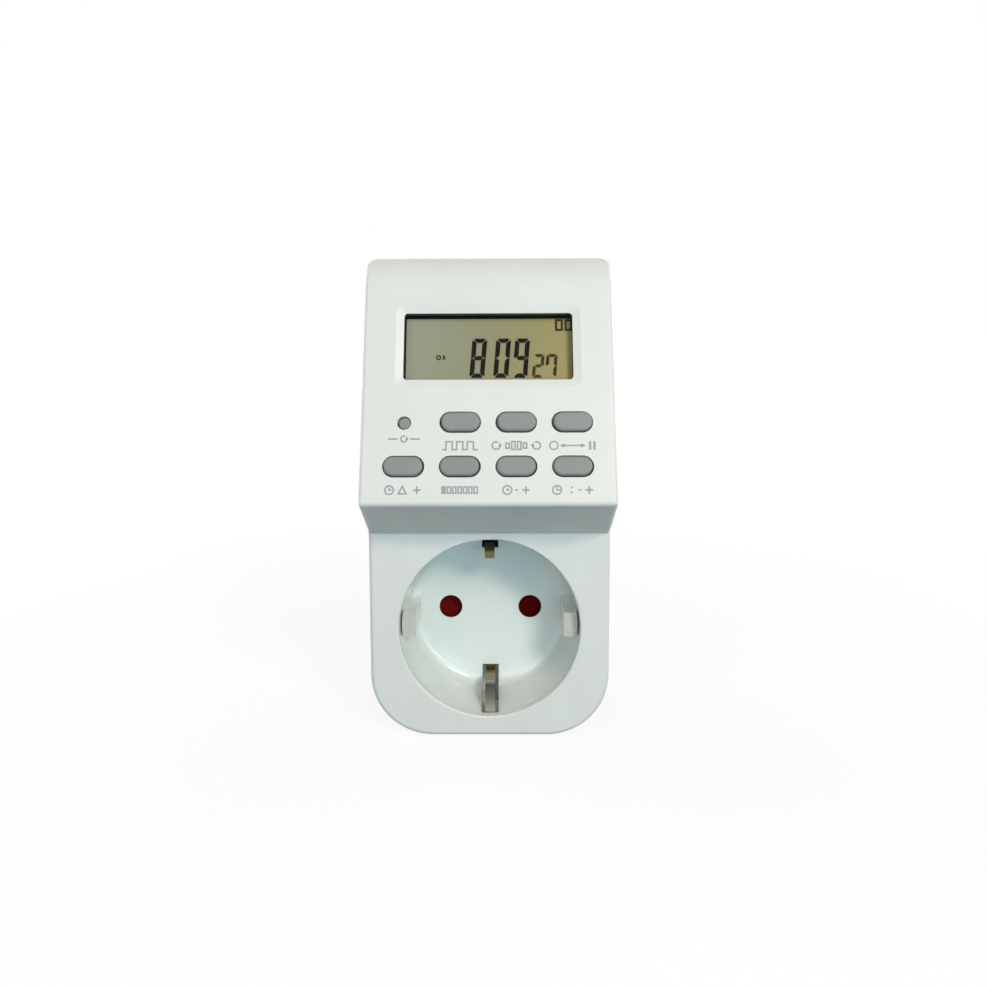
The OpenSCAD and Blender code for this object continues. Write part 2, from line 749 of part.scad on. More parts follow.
module contact_rubber() color("dimgray") on_hood() translate([0, rubber_u, 0])
    plate(lcd_d + lcd_t, board_d) square([rubber_w, rubber_t], center = true);

// ----------------------------------------------------------------- the keys

plunger_end_d = 3.6;
dome_d = plunger_end_d + key_travel + 0.05;

// Half of a key's end, turned about the z axis: radius and height
module key_section(r, low, high) {
    difference() {
        translate([0, low]) square([r, high - low]);
        translate([r - key_edge, high - key_edge]) difference() {
            square(key_edge + eps);
            circle(key_edge, $fn = 48);
        }
    }
}

// Key cap with softly rounded top edges, a flange below the wall and a plunger
module key_cap() {
    r = key_h / 2;
    span = key_w - key_h;
    rotate([90, 0, 90]) linear_extrude(span, center = true) both_sides()
        key_section(r, -flange_d, key_proud);
    for (s = [0, 180]) rotate([0, 0, s]) translate([span / 2, 0, 0])
        rotate([0, 0, -90]) rotate_extrude(angle = 180) key_section(r, -flange_d, key_proud);
    plate(flange_d, flange_d + flange_t) stadium(key_w + 1.6, key_h + 1.6);
    plate(flange_d + flange_t, plunger_end_d) circle(1.5);
}

module key_at(x, u) color("darkgray") on_hood() translate([x, u, 0]) key_cap();

module key_program() key_at(col_x[1] + key_shift_high, row_high);
module key_recall() key_at(col_x[2] + key_shift_high, row_high);
module key_manual() key_at(col_x[3] + key_shift_high, row_high);
module key_clock() key_at(col_x[0] + key_shift_low, row_low);
module key_week() key_at(col_x[1] + key_shift_low, row_low);
module key_hour() key_at(col_x[2] + key_shift_low, row_low);
module key_minute() key_at(col_x[3] + key_shift_low, row_low);

module reset_button() color("darkgray") on_hood() translate([col_x[0] + key_shift_high, reset_u, 0]) {
    plate(reset_sunk, flange_d) circle(d = reset_d);
    plate(flange_d, flange_d + flange_t) circle(d = reset_d + 1.6);
    plate(flange_d + flange_t, dome_d - reset_travel - 0.05) circle(0.8);
}

// Rubber mat with a dome below each key
module key_mat() color("slategray") on_hood() {
    difference() {
        translate([0, (row_low + row_high) / 2, 0]) plate(board_d - mat_t, board_d)
            square([control_w - 3, mat_h], center = true);
        board_post_places() plate(board_d - mat_t - eps, board_d + eps) circle(board_post_r + 0.3);
    }
    key_places() dome();
    translate([col_x[0], reset_u, 0]) dome();
}

module dome() {
    plate(dome_d + 1, board_d) circle(2.7);
    plate(dome_d, board_d) circle(1.8);
}

// --------------------------------------------------------------- the boards

module control_board() color("darkgreen") on_hood() difference() {
    plate(board_d, board_back_d) translate([-control_w / 2, control_low])
        square([control_w, control_high - control_low]);
    board_post_places() plate(board_d - eps, board_back_d + eps)
        circle(d = board_screw_d + 2 * fit);
}

chip_w = 10;
chip_t = 1.6;
chip_x = -6;
chip_u = 21;
lead_w = 0.4;
lead_t = 0.6;
lead_reach = 1.5;
module controller_chip() color("black") on_hood() translate([chip_x, chip_u, 0]) {
    plate(board_back_d + lead_t / 3, board_back_d + lead_t / 3 + chip_t) square(chip_w, center = true);
    for (a = [0:90:270]) rotate([0, 0, a]) for (i = [-4:4])
        plate(board_back_d, board_back_d + lead_t)
            translate([chip_w / 2 - 0.1, i * chip_w / 10 - lead_w / 2]) square([lead_reach, lead_w]);
}

crystal_d = 3;
crystal_len = 8;
crystal_x = 6;
module clock_crystal() color("silver") on_hood()
    translate([crystal_x, chip_u, -board_back_d - crystal_d / 2]) rotate([-90, 0, 0])
        cylinder(d = crystal_d, h = crystal_len);

cell_r = 5.8;
cell_t = 5.4;
cell_cap_t = 0.4;
cell_x = 12;
cell_u = 37;
module backup_cell() color("seagreen") on_hood() translate([cell_x, cell_u, 0]) {
    plate(board_back_d, board_back_d + cell_t) circle(cell_r);
    plate(board_back_d + cell_t, board_back_d + cell_t + cell_cap_t) circle(cell_r * 0.7);
}

module power_board() color("olivedrab") at_face() difference() {
    deep(power_d, strip_d) translate([-power_w / 2, power_low])
        square([power_w, power_high - power_low]);
    both_sides() for (p = power_posts)
        translate([p[0], 0, p[1]]) bar(board_screw_d / 2 + fit, power_d - eps, strip_d + eps);
}

box_edge_r = 0.8;
relay_w = 19;
relay_h = 15.6;
relay_t = 15;
relay_x = -10;
relay_z = 43;
module relay() color("royalblue") at_face() translate([relay_x, 0, relay_z]) difference() {
    deep(power_d - relay_t, power_d) soft_square(relay_w, relay_h, box_edge_r);
    deep(power_d - relay_t - eps, power_d - relay_t + 0.3)
        square([relay_w - 4, relay_h - 4], center = true);
}

film_w = 18;
film_h = 8.5;
film_t = 14;
film_x = 10;
film_z = 42;
module film_capacitor() color("gold") at_face() translate([film_x, 0, film_z])
    deep(power_d - film_t, power_d) soft_square(film_w, film_h, box_edge_r);

can_r = 4;
can_len = 12;
can_x = 4.6;
can_z = 53;
module smoothing_capacitor() color("midnightblue") at_face() translate([can_x, 0, can_z]) {
    bar(can_r, power_d - can_len, power_d);
    bar(can_r * 0.8, power_d - can_len - 0.2, power_d - can_len + 1);
}

varistor_r = 6;
varistor_t = 3.6;
varistor_x = -4;
varistor_z = 60;
module varistor() color("steelblue") at_face()
    translate([varistor_x, power_d - varistor_r, varistor_z])
        rotate([0, 90, 0]) cylinder(r = varistor_r, h = varistor_t);

// Axial resistor that stands off the board on two bent leads
resistor_r = 2.5;
resistor_len = 11;
resistor_out = 3;
resistor_x = 2;
resistor_z = 66;
wire_r = 0.4;
wire_out = 2;
module power_resistor() color("burlywood") at_face()
    translate([resistor_x, power_d - resistor_out, resistor_z]) {
        rotate([0, 90, 0]) cylinder(r = resistor_r, h = resistor_len);
        translate([-wire_out, 0, 0]) rotate([0, 90, 0])
            cylinder(r = wire_r, h = resistor_len + 2 * wire_out);
        for (x = [wire_r - wire_out, resistor_len + wire_out - wire_r])
            translate([x, 0, 0]) bar(wire_r - 0.05, 0, resistor_out);
    }

rectifier_w = 6.4;
rectifier_h = 6;
rectifier_t = 2.6;
rectifier_x = -15;
rectifier_z = 56;
module rectifier() color("black") at_face() translate([rectifier_x, 0, rectifier_z])
    deep(power_d - rectifier_t, power_d) square([rectifier_w, rectifier_h], center = true);

// Flat cable that sags between the two boards
cable_u = 6;
cable_from_d = board_back_d + 0.05;
cable_from = [-lip_out + cable_u * sin(slope) + cable_from_d * cos(slope),
    lip_h + cable_u * cos(slope) - cable_from_d * sin(slope)];
cable_to = [power_d, power_low + 3.2];
cable_w = 10;
cable_t = 0.9;
cable_sag = 1.6;
cable_steps = 12;
cable_pts = [for (i = [0:cable_steps]) let (t = i / cable_steps)
    cable_from + (cable_to - cable_from) * t - [0, 4 * cable_sag * t * (1 - t)]];

module ribbon_cable() color("lightslategray") at_face() across(cable_w) difference() {
    strip_outline(cable_pts, cable_t);
    translate([power_d, 0]) square(power_high);
}

// --------------------------------------------------------------- the screws

module screw(shank_r, head_r, head_h, length) {
    cylinder(r = shank_r, h = length);
    difference() {
        translate([0, 0, -head_h]) cylinder(r = head_r, h = head_h);
        for (a = [0, 90]) rotate([0, 0, a]) translate([-head_r * 0.6, -0.3, -head_h - eps])
            cube([head_r * 1.2, 0.6, eps + head_h / 2]);
    }
}

module housing_screws() color("silver") at_face() screw_places()
    translate([0, body_d - screw_head_d, 0]) rotate([90, 0, 0])
        screw(screw_d / 2, screw_head_r, screw_head_h, screw_len);

module board_screw(length) screw(board_screw_d / 2, board_screw_head_r, board_screw_head_h, length);

board_screw_head_r = 1.7;
board_screw_head_h = 1.2;
board_screw_len = 5.4;
power_screw_len = 3.8;
module board_screws() color("silver") {
    on_hood() board_post_places() translate([0, 0, -board_back_d]) board_screw(board_screw_len);
    at_face() both_sides() for (p = power_posts) translate([p[0], power_d, p[1]])
        rotate([-90, 0, 0]) board_screw(power_screw_len);
}

front_housing();
rear_housing();
socket_cup();
shutter();
shutter_spring();
earth_clip_strap();
plug_earth_strap();
contact_carrier();
live_contact();
neutral_contact();
live_pin();
neutral_pin();
live_busbar();
neutral_busbar();
load_busbar();
display_window();
display_cell();
display_holder();
contact_rubber();
key_program();
key_recall();
key_manual();
key_clock();
key_week();
key_hour();
key_minute();
reset_button();
key_mat();
control_board();
controller_chip();
clock_crystal();
backup_cell();
power_board();
relay();
film_capacitor();
smoothing_capacitor();
varistor();
power_resistor();
rectifier();
ribbon_cable();
housing_screws();
board_screws();
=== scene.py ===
"""Dresses a plug-in timer switch: finishes, display, printed signs, and the studio around it."""

from __future__ import annotations

import json
import logging
import math
from dataclasses import dataclass
from enum import Enum
from typing import Callable, Iterable, Union

import bmesh
import bpy
import numpy as np
from mathutils import Matrix, Vector

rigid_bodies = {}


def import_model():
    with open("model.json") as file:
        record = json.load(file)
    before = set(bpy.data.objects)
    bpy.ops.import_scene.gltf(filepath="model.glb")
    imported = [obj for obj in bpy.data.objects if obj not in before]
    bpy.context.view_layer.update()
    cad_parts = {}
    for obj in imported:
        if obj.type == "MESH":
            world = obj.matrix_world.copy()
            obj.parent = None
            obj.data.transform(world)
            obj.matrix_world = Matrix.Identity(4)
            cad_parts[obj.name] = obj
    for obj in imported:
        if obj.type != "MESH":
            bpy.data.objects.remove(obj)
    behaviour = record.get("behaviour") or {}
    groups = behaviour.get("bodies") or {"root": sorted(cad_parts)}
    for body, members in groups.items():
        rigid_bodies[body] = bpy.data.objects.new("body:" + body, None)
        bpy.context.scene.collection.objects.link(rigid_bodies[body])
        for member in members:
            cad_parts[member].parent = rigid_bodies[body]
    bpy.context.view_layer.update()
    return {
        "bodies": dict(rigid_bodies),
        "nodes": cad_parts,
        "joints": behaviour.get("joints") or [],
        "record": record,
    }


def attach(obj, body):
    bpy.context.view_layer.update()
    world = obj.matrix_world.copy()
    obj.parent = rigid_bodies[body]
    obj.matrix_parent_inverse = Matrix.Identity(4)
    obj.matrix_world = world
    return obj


LOG = logging.getLogger("timer_switch")
Color = tuple[float, float, float]
Point = tuple[float, float]
Point3 = tuple[float, float, float]
Stops = tuple[tuple[float, Color], ...]
Socket = bpy.types.NodeSocket
MM = 0.001
WHITE: Color = (1.0, 1.0, 1.0)
EVEN: Point3 = (1.0, 1.0, 1.0)
BRUSHED_UP: Point3 = (1.0, 1.0, 14.0)
BRUSHED_DEEP: Point3 = (1.0, 14.0, 1.0)


def tone(red: float, green: float, blue: float) -> Color:
    """Turns a display colour into the linear light that a shader takes.

    Args:
        red: Red part, 0 to 255.
        green: Green part, 0 to 255.
        blue: Blue part, 0 to 255.

    Returns:
        The three linear parts, 0 to 1.
    """
    parts = []
    for part in (red, green, blue):
        share = part / 255
        parts.append(share / 12.92 if share <= 0.04045 else ((share + 0.055) / 1.055) ** 2.4)
    return tuple(parts)


# shader maths


def operator(operation: str) -> Callable[..., Val]:
    """Makes a method of Val that puts the value, and the other one if any, through a Math node."""
    return lambda value, *others: value.graph.math(operation, value, *others)


class Val:
    """A number socket that takes part in Python arithmetic, where each operator adds a Math node.

    A comparison gives 1 where it is true, else 0.
    """

    __add__ = __radd__ = operator("ADD")
    __sub__ = operator("SUBTRACT")
    __mul__ = __rmul__ = operator("MULTIPLY")
    __truediv__ = operator("DIVIDE")
    __pow__ = operator("POWER")
    __lt__ = operator("LESS_THAN")
    __gt__ = operator("GREATER_THAN")
    __abs__ = operator("ABSOLUTE")
    sine = operator("SINE")
    larger = operator("MAXIMUM")
    smaller = operator("MINIMUM")

    def __init__(self, graph: Graph, socket: Socket) -> None:
        """Wraps a socket of the graph's node tree."""
        self.graph = graph
        self.socket = socket

    def __rsub__(self, other: Number) -> Val:
        """The difference with the other value first."""
        return self.graph.math("SUBTRACT", other, self)

    def held(self) -> Val:
        """The value held between 0 and 1."""
        return self.larger(0.0).smaller(1.0)


Number = Union[Val, float]


class Graph:
    """The node tree of one material or world, and the ways to add to it."""

    def __init__(self, owner: Union[bpy.types.Material, bpy.types.World]) -> None:
        """Empties the node tree of its owner, a material or world."""
        owner.use_nodes = True
        self.owner = owner
        self.tree = owner.node_tree
        self.tree.nodes.clear()

    def node(self, kind: str, settings: dict | None = None,
             sockets: dict | None = None) -> bpy.types.Node:
        """Adds a node.

        Args:
            kind: The node's type name, without its leading "ShaderNode".
            settings: Attributes to set first; "stops" gives a ramp's places and colours.
            sockets: Values or links of the input sockets, by name or number.

        Returns:
            The new node.
        """
        node = self.tree.nodes.new("ShaderNode" + kind)
        for name, value in (settings or {}).items():
            if name == "stops":
                ramp = node.color_ramp.elements
                while len(ramp) < len(value):
                    ramp.new(0.5)
                for stop, (place, color) in zip(ramp, value):
                    stop.position = place
                    stop.color = (*color, 1.0)
            else:
                setattr(node, name, value)
        for name, value in (sockets or {}).items():
            self.feed(node.inputs[name], value)
        return node

    def feed(self, socket: Socket, value: object) -> None:
        """Links a socket to a value, or sets the value on it.

        Args:
            socket: The input socket.
            value: Another node's output, a wrapped one, a number, a vector or a colour.
        """
        if isinstance(value, Val):
            value = value.socket
        if isinstance(value, Socket):
            self.tree.links.new(value, socket)
        elif socket.type == "RGBA":
            socket.default_value = (*value[:3], 1.0)
        else:
            socket.default_value = value

    def math(self, operation: str, *operands: Number) -> Val:
        """Adds a Math node and returns its result."""
        node = self.node("Math", {"operation": operation}, dict(enumerate(operands)))
        return Val(self, node.outputs[0])

    def place(self) -> Socket:
        """Object coordinates, in metres."""
        return self.node("TexCoord").outputs["Object"]

    def axes(self) -> tuple[Val, Val, Val]:
        """The three object coordinates as numbers, in metres."""
        split = self.node("SeparateXYZ", sockets={0: self.place()})
        return tuple(Val(self, split.outputs[i]) for i in range(3))

    def noise(self, size: float, detail: float = 2.0, stretch: Point3 = EVEN) -> Val:
        """Smooth noise between 0 and 1.

        Args:
            size: Width of a patch, in metres.
            detail: Number of finer layers.
            stretch: How much longer the patches are along each axis.

        Returns:
            The noise's value.
        """
        scale = tuple(1 / (size * s) for s in stretch)
        spot = self.node("Mapping", sockets={"Vector": self.place(), "Scale": scale}).outputs[0]
        node = self.node("TexNoise", sockets={"Vector": spot, "Scale": 1.0, "Detail": detail})
        return Val(self, node.outputs["Fac"])

    def blend(self, share: Number, first: object, second: object) -> Socket:
        """Mixes two colours: the first at share 0, the second at share 1."""
        node = self.node("Mix", {"data_type": "RGBA"}, {0: share, 6: first, 7: second})
        return node.outputs[2]

    def ramp(self, share: Number, stops: Stops) -> Socket:
        """Runs a number through a colour ramp."""
        return self.node("ValToRGB", {"stops": stops}, {0: share}).outputs[0]

    def mix(self, share: Number, first: bpy.types.Node, second: bpy.types.Node) -> bpy.types.Node:
        """Mixes two shader nodes: the first at share 0, the second at share 1."""
        return self.node("MixShader", sockets={0: share, 1: first.outputs[0], 2: second.outputs[0]})

    def finish(self, shader: Socket) -> None:
        """Links a shader to the tree's output."""
        kind = "OutputWorld" if isinstance(self.owner, bpy.types.World) else "OutputMaterial"
        self.node(kind, sockets={"Surface": shader})


# finishes

DRIFT_FROM = 0.35
DRIFT_GAIN = 3.0
SHEEN_PATCH = 0.6
COAT_ROUGHNESS = 0.06


@dataclass(frozen=True)
class Finish:
    """A moulded or painted surface: a tone that drifts a little, a fine grain and an even gloss.

    Lengths are in metres.

    Attributes:
        name: The material's name.
        color: The main colour.
        shade: The colour that the patches drift to.
        roughness: The mean roughness.
        spread: How far the roughness drifts.
        patch: Size of the patches.
        grain: Size of the grain.
        relief: Height of the grain.
        stretch: How much longer the grain is along each axis.
        metallic: 1 for bare metal.
        coat: Weight of a clear coat.
        gloss: Specular level.
    """

    name: str
    color: Color
    shade: Color
    roughness: float
    spread: float = 0.08
    patch: float = 0.009
    grain: float = 0.0003
    relief: float = 0.000006
    stretch: Point3 = EVEN
    metallic: float = 0.0
    coat: float = 0.0
    gloss: float = 0.5

    def tint(self, graph: Graph) -> Socket:
        """The colour over the surface: patches of smooth noise between the two tones."""
        share = ((graph.noise(self.patch, 3.0) - DRIFT_FROM) * DRIFT_GAIN).held()
        return graph.blend(share, self.color, self.shade)

    def sheen(self, graph: Graph) -> Number:
        """The roughness over the surface: the mean and a slow drift about it."""
        return self.roughness + (graph.noise(self.patch * SHEEN_PATCH, 2.0) - 0.5) * self.spread

    def height(self, graph: Graph) -> Val:
        """The grain's height over the surface, in shares of its relief."""
        return graph.noise(self.grain, 2.0, self.stretch)

    def bump(self, graph: Graph) -> Socket:
        """The surface's direction, tilted by the grain."""
        return graph.node("Bump", sockets={"Strength": 1.0, "Distance": self.relief,
                                           "Height": self.height(graph)}).outputs[0]

    def shader(self, graph: Graph) -> Socket:
        """Joins colour, roughness and grain in one surface shader.

        Args:
            graph: The material's nodes.

        Returns:
            The surface shader.
        """
        return graph.node("BsdfPrincipled", sockets={
            "Base Color": self.tint(graph), "Roughness": self.sheen(graph),
            "Metallic": self.metallic, "Specular IOR Level": self.gloss, "Coat Weight": self.coat,
            "Coat Roughness": COAT_ROUGHNESS, "Normal": self.bump(graph)}).outputs[0]

    def build(self) -> bpy.types.Material:
        """Makes the material.

        Returns:
            The new material, whose plain viewport colour is the main one.
        """
        material = bpy.data.materials.new(self.name)
        graph = Graph(material)
        graph.finish(self.shader(graph))
        material.diffuse_color = (*self.color, 1.0)
        return material


@dataclass(frozen=True)
class HoodPlane:
    """The hood's sloping face: x across, u up it from its lip, n out of it, all in millimetres.

    Attributes:
        lip_y: Where the lip lies along the plug's axis.
        lip_z: Height of the lip above the socket's axis.
        slope: Lean of the face from upright, in degrees.
    """

    lip_y: float = -58.5
    lip_z: float = 31.3
    slope: float = 20.9

    @property
    def turn(self) -> tuple[float, float]:
        """Sine and cosine of the slope."""
        return math.sin(math.radians(self.slope)), math.cos(math.radians(self.slope))

    def lift(self, x: np.ndarray, u: np.ndarray, n: np.ndarray) -> np.ndarray:
        """Moves points from the face's own measures to the frame.

        A point is the lip plus u times the face's upward direction plus n times its outward normal.

        Args:
            x: Distances across.
            u: Distances up the face.
            n: Distances out of the face.

        Returns:
            One row of x, y and z in metres for each point.
        """
        sin, cos = self.turn
        y, z = self.lip_y + u * sin - n * cos, self.lip_z + u * cos + n * sin
        return MM * np.stack([x, y, z], axis=-1)

    def measures(self, graph: Graph) -> tuple[Val, Val, Val]:
        """Works out a shading point's place in the face's own measures.

        Args:
            graph: The material's nodes.

        Returns:
            The measures x, u and n, in millimetres.
        """
        sin, cos = self.turn
        x, y, z = (part / MM for part in graph.axes())
        y, z = y - self.lip_y, z - self.lip_z
        return x, y * sin + z * cos, z * sin - y * cos


HOOD = HoodPlane()


@dataclass(frozen=True)
class Window:
    """The display's opening in the hood's face, in millimetres.

    Attributes:
        width: Width of the opening.
        height: Height of the opening.
        up: Height of its centre up the face.
        bevel: Depth of the bevel that leads into it.
        cell_depth: Depth of the display cell's front below the face.
    """

    width: float = 36.1
    height: float = 14.9
    up: float = 34.45
    bevel: float = 0.5
    cell_depth: float = 3.1

    def inside(self, graph: Graph, margin: float) -> Val:
        """1 at a shading point within the opening's outline, grown by a margin, else 0."""
        x, u, _ = HOOD.measures(graph)
        return (abs(x) < self.width / 2 + margin) * (abs(u - self.up) < self.height / 2 + margin)


WINDOW = Window()


@dataclass(frozen=True)
class Recess:
    """The socket's recess along the plug's axis, in metres.

    Attributes:
        face: Where its mouth lies.
        depth: Depth from its mouth to its floor.
    """

    face: float = -0.0425
    depth: float = 0.0175

    @property
    def floor(self) -> float:
        """Where its floor lies."""
        return self.face + self.depth

    def share(self, y: Val) -> Val:
        """Depth of a shading point: 0 at the mouth, 1 at the floor, held between them."""
        return ((y - self.face) / self.depth).held()


RECESS = Recess()


@dataclass(frozen=True)
class HousingFinish(Finish):
    """The housing's satin plastic, with painted shade on the inner walls of the display's opening.

    Attributes:
        ink: Colour of the painted shade.
        margin: How far the painted shade reaches past the opening's outline, in millimetres.
        below: How far under the bevel the painted shade starts, in millimetres.
    """

    # painted shade: a dark colour on the opening's inner walls, where the cavity lies in shade
    ink: Color = tone(34, 29, 22)
    margin: float = 0.12
    below: float = 0.08

    def tint(self, graph: Graph) -> Socket:
        """Adds the painted shade on the opening's walls to the plastic's tone.

        Args:
            graph: The material's nodes.

        Returns:
            The colour over the surface.
        """
        _, _, n = HOOD.measures(graph)
        # the opening's inner walls, below the bevel and in front of the cell, take the painted shade
        depth = (n < -(WINDOW.bevel + self.below)) * (n > -WINDOW.cell_depth)
        wall = WINDOW.inside(graph, self.margin) * depth
        return graph.blend(wall, super().tint(graph), self.ink)


@dataclass(frozen=True)
class DisplayFinish(Finish):
    """The display cell's reflective film, under a painted reflection from grey green to warm tan.

    Attributes:
        film: The film's colours with the painted reflection, from left to right.
        border: Colour of the painted shadow outside the film, along its top and left.
        left: Left edge of the film on the hood's face, in millimetres.
        right: Its right edge.
        low: Its lower edge.
        high: Its upper edge.
        reach: Half the width over which its colours run.
        middle: Height at which they run as given.
        fall: How much further along they are for each millimetre below that.
        drift: How far a slow noise moves them along.
        ripple: Size of that noise's patches, in metres.
    """

    # painted reflection: the film's tone runs from grey green at the left to warm tan at the right,
    # and on further lower down
    film: Stops = (
        (0.0, tone(170, 168, 151)), (0.28, tone(165, 162, 137)), (0.52, tone(164, 156, 123)),
        (0.78, tone(170, 158, 113)), (1.0, tone(183, 163, 110)))
    # painted shadow: dark outside the film, which shows only along its top and left edges
    border: Color = tone(30, 26, 18)
    left: float = -17.75
    right: float = 18.05
    low: float = 26.8
    high: float = 41.55
    reach: float = 18.0
    middle: float = 34.5
    fall: float = 0.006
    drift: float = 0.12
    ripple: float = 0.006

    def tint(self, graph: Graph) -> Socket:
        """Runs the film's ramp with its painted reflection, inside the painted shadow.

        Args:
            graph: The material's nodes.

        Returns:
            The colour over the surface.
        """
        x, u, _ = HOOD.measures(graph)
        drift = (graph.noise(self.ripple, 2.0) - 0.5) * self.drift
        share = ((x + self.reach) / (2 * self.reach) + (self.middle - u) * self.fall + drift).held()
        shown = (x > self.left) * (x < self.right) * (u > self.low) * (u < self.high)
        return graph.blend(shown, self.border, graph.ramp(share, self.film))


@dataclass(frozen=True)
class SocketFinish(Finish):
    """The recess's glossy plastic, painted with shade in its slots, on its ribs and in its pin holes.

    Lengths are in metres.

    Attributes:
        half: Half the slots' width.
        inner: Distance of the slots' inner ends from the axis.
        outer: Distance from the axis at which the slots' painted shade stops.
        grime: Colour of the slots' painted shade, from the mouth of a slot to the far end.
        rib_in: Distance of the ribs' inner faces from the middle.
        rib_half: Half the ribs' width.
        rib_start: Depth share at which the ribs begin.
        rubbed: Colour of the painted shade on the ribs' faces.
        rub_patch: Size of the patches of painted shade.
        rub_least: Least share of that colour on a rib.
        rub_swing: How much a noise adds to it.
        hole_out: Distance of the pin holes' axes from the middle.
        hole_reach: Radius that takes in a hole's wall and little else.
        hole_start: How far past the recess's floor the walls' colour starts.
        glow: Painted colour of the holes' walls: shade with a reflection of the shutter's red.
    """

    half: float = 0.00194
    inner: float = 0.01438
    outer: float = 0.0211
    # painted shade in the slots: grey, then near black, then the brown of the brass behind towards
    # the far end
    grime: Stops = (
        (0.0, tone(150, 154, 146)), (0.2, tone(120, 122, 112)), (0.34, tone(70, 68, 56)),
        (0.5, tone(58, 54, 42)), (0.62, tone(128, 112, 72)), (1.0, tone(104, 88, 54)))
    rib_in: float = 0.01675
    rib_half: float = 0.00268
    rib_start: float = 0.18
    # painted shade on the ribs' faces, a little warmer than the plastic
    rubbed: Color = tone(200, 198, 188)
    rub_patch: float = 0.0014
    rub_least: float = 0.65
    rub_swing: float = 0.5
    hole_out: float = 0.0095
    hole_reach: float = 0.0028
    hole_start: float = 0.00005
    # painted shade and a painted reflection of the shutter's red, on the pin holes' walls
    glow: Color = tone(104, 14, 20)

    def tint(self, graph: Graph) -> Socket:
        """Lays the painted shade of the slots, the ribs and the pin holes over the plastic's tone.

        Args:
            graph: The material's nodes.

        Returns:
            The colour over the surface.
        """
        x, y, z = graph.axes()
        across, up, depth = abs(x), abs(z), RECESS.share(y)
        slot = (across < self.half) * (up > self.inner) * (up < self.outer)
        rib = (across > self.rib_in) * (up < self.rib_half) * (depth > self.rib_start)
        # share of the painted shade on a rib's faces
        painted_shading = rib * (graph.noise(self.rub_patch, 3.0) * self.rub_swing + self.rub_least).held()
        off = across - self.hole_out
        # the pin holes' walls, past the recess's floor, take that painted colour
        hole = (off * off + z * z < self.hole_reach ** 2) * (y > RECESS.floor + self.hole_start)
        # the slots take their painted shade by depth
        surface = graph.blend(slot, super().tint(graph), graph.ramp(depth, self.grime))
        return graph.blend(hole, graph.blend(painted_shading, surface, self.rubbed), self.glow)


@dataclass(frozen=True)
class BrassFinish(Finish):
    """Bright brass, with painted light and shade by depth where its clips show in the recess.

    Attributes:
        lower: Painted light and shade of the lower clip, tip to root, with a painted crest highlight.
        upper: Painted light and shade of the upper clip, darker, from its tip to its root.
        end: Where along y the painted light and shade end, in metres.
    """

    # painted light and shade: grey near the mouth, dark, a painted highlight at the crest, then brown
    lower: Stops = (
        (0.06, tone(176, 174, 162)), (0.2, tone(128, 128, 118)), (0.335, tone(96, 96, 88)),
        (0.35, tone(196, 196, 184)), (0.395, tone(186, 186, 172)), (0.41, tone(64, 48, 32)),
        (0.46, tone(132, 112, 70)), (0.8, tone(150, 132, 88)), (1.0, tone(176, 154, 100)))
    # painted shade: dark near the mouth and at the root, brass brown between
    upper: Stops = (
        (0.16, tone(20, 18, 14)), (0.21, tone(60, 50, 34)), (0.25, tone(160, 134, 80)),
        (0.8, tone(140, 122, 78)), (0.95, tone(24, 20, 14)))
    end: float = -0.0175

    def tint(self, graph: Graph) -> Socket:
        """Lays the painted light and shade of each clip within the body over the bright tone.

        Args:
            graph: The material's nodes.

        Returns:
            The colour over the surface.
        """
        _, y, z = graph.axes()
        share = RECESS.share(y)
        # the upper clip, above the axis, takes the darker painted shade
        painted_shading = graph.blend(z > 0.0, graph.ramp(share, self.lower), graph.ramp(share, self.upper))
        return graph.blend(y < self.end, super().tint(graph), painted_shading)


@dataclass(frozen=True)
class StripedFinish(Finish):
    """A surface with even stripes across x, such as flat cable or layered contact rubber.

    Attributes:
        pitch: Distance between stripes, in metres.
        sharp: How hard the stripes' edges are.
    """

    pitch: float = 0.001
    sharp: float = 3.0

    def tint(self, graph: Graph) -> Socket:
        """A sine of x, raised and cut, picks between the two tones."""
        wave = (graph.axes()[0] * (2 * math.pi / self.pitch)).sine()
        return graph.blend((wave * self.sharp + 0.5).held(), self.color, self.shade)


@dataclass(frozen=True)
class BoardFinish(Finish):
    """A circuit board's lacquer: copper tracks show through it as paler runs.

    Attributes:
        contour: Size of the noise whose contour lines the tracks follow, in metres.
        levels: Number of contour levels from 0 to 1.
        half: Half a track's width, in shares of the step between levels.
        rise: Share of the surface's relief that the tracks make up.
    """

    contour: float = 0.0066
    levels: float = 9.0
    half: float = 0.2
    rise: float = 0.8

    def runs(self, graph: Graph) -> Val:
        """1 on a track: thin bands about the contour lines of a smooth noise."""
        level = graph.noise(self.contour, 0.0) * self.levels
        return abs(level - graph.math("ROUND", level)) < self.half

    def tint(self, graph: Graph) -> Socket:
        """The lacquer's tone, paler on the tracks."""
        return graph.blend(self.runs(graph), self.color, self.shade)

    def height(self, graph: Graph) -> Val:
        """The tracks stand up a little under the lacquer."""
        return self.runs(graph) * self.rise + graph.noise(self.grain) * (1 - self.rise)


@dataclass(frozen=True)
class ClearFinish(Finish):
    """Clear plastic: light passes straight through, and its surface mirrors more at a flat angle.

    Attributes:
        index: Refractive index.
    """

    index: float = 1.49

    def shader(self, graph: Graph) -> Socket:
        """Mixes a clear pass and a mirror by Schlick's share, alike from both sides of a face.

        Straight on, the share is ((index - 1) / (index + 1)) squared. It nears 1 with the fifth
        power of 1 less the cosine of the angle.

        Args:
            graph: The material's nodes.

        Returns:
            The surface shader.
        """
        straight = ((self.index - 1) / (self.index + 1)) ** 2
        facing = Val(graph, graph.node("LayerWeight", sockets={"Blend": 0.5}).outputs["Facing"])
        share = facing ** 5.0 * (1 - straight) + straight
        clear = graph.node("BsdfTransparent", sockets={"Color": self.color})
        mirror = graph.node("BsdfAnisotropic", sockets={
            "Color": WHITE, "Roughness": self.roughness, "Normal": self.bump(graph)})
        return graph.mix(share, clear, mirror).outputs[0]


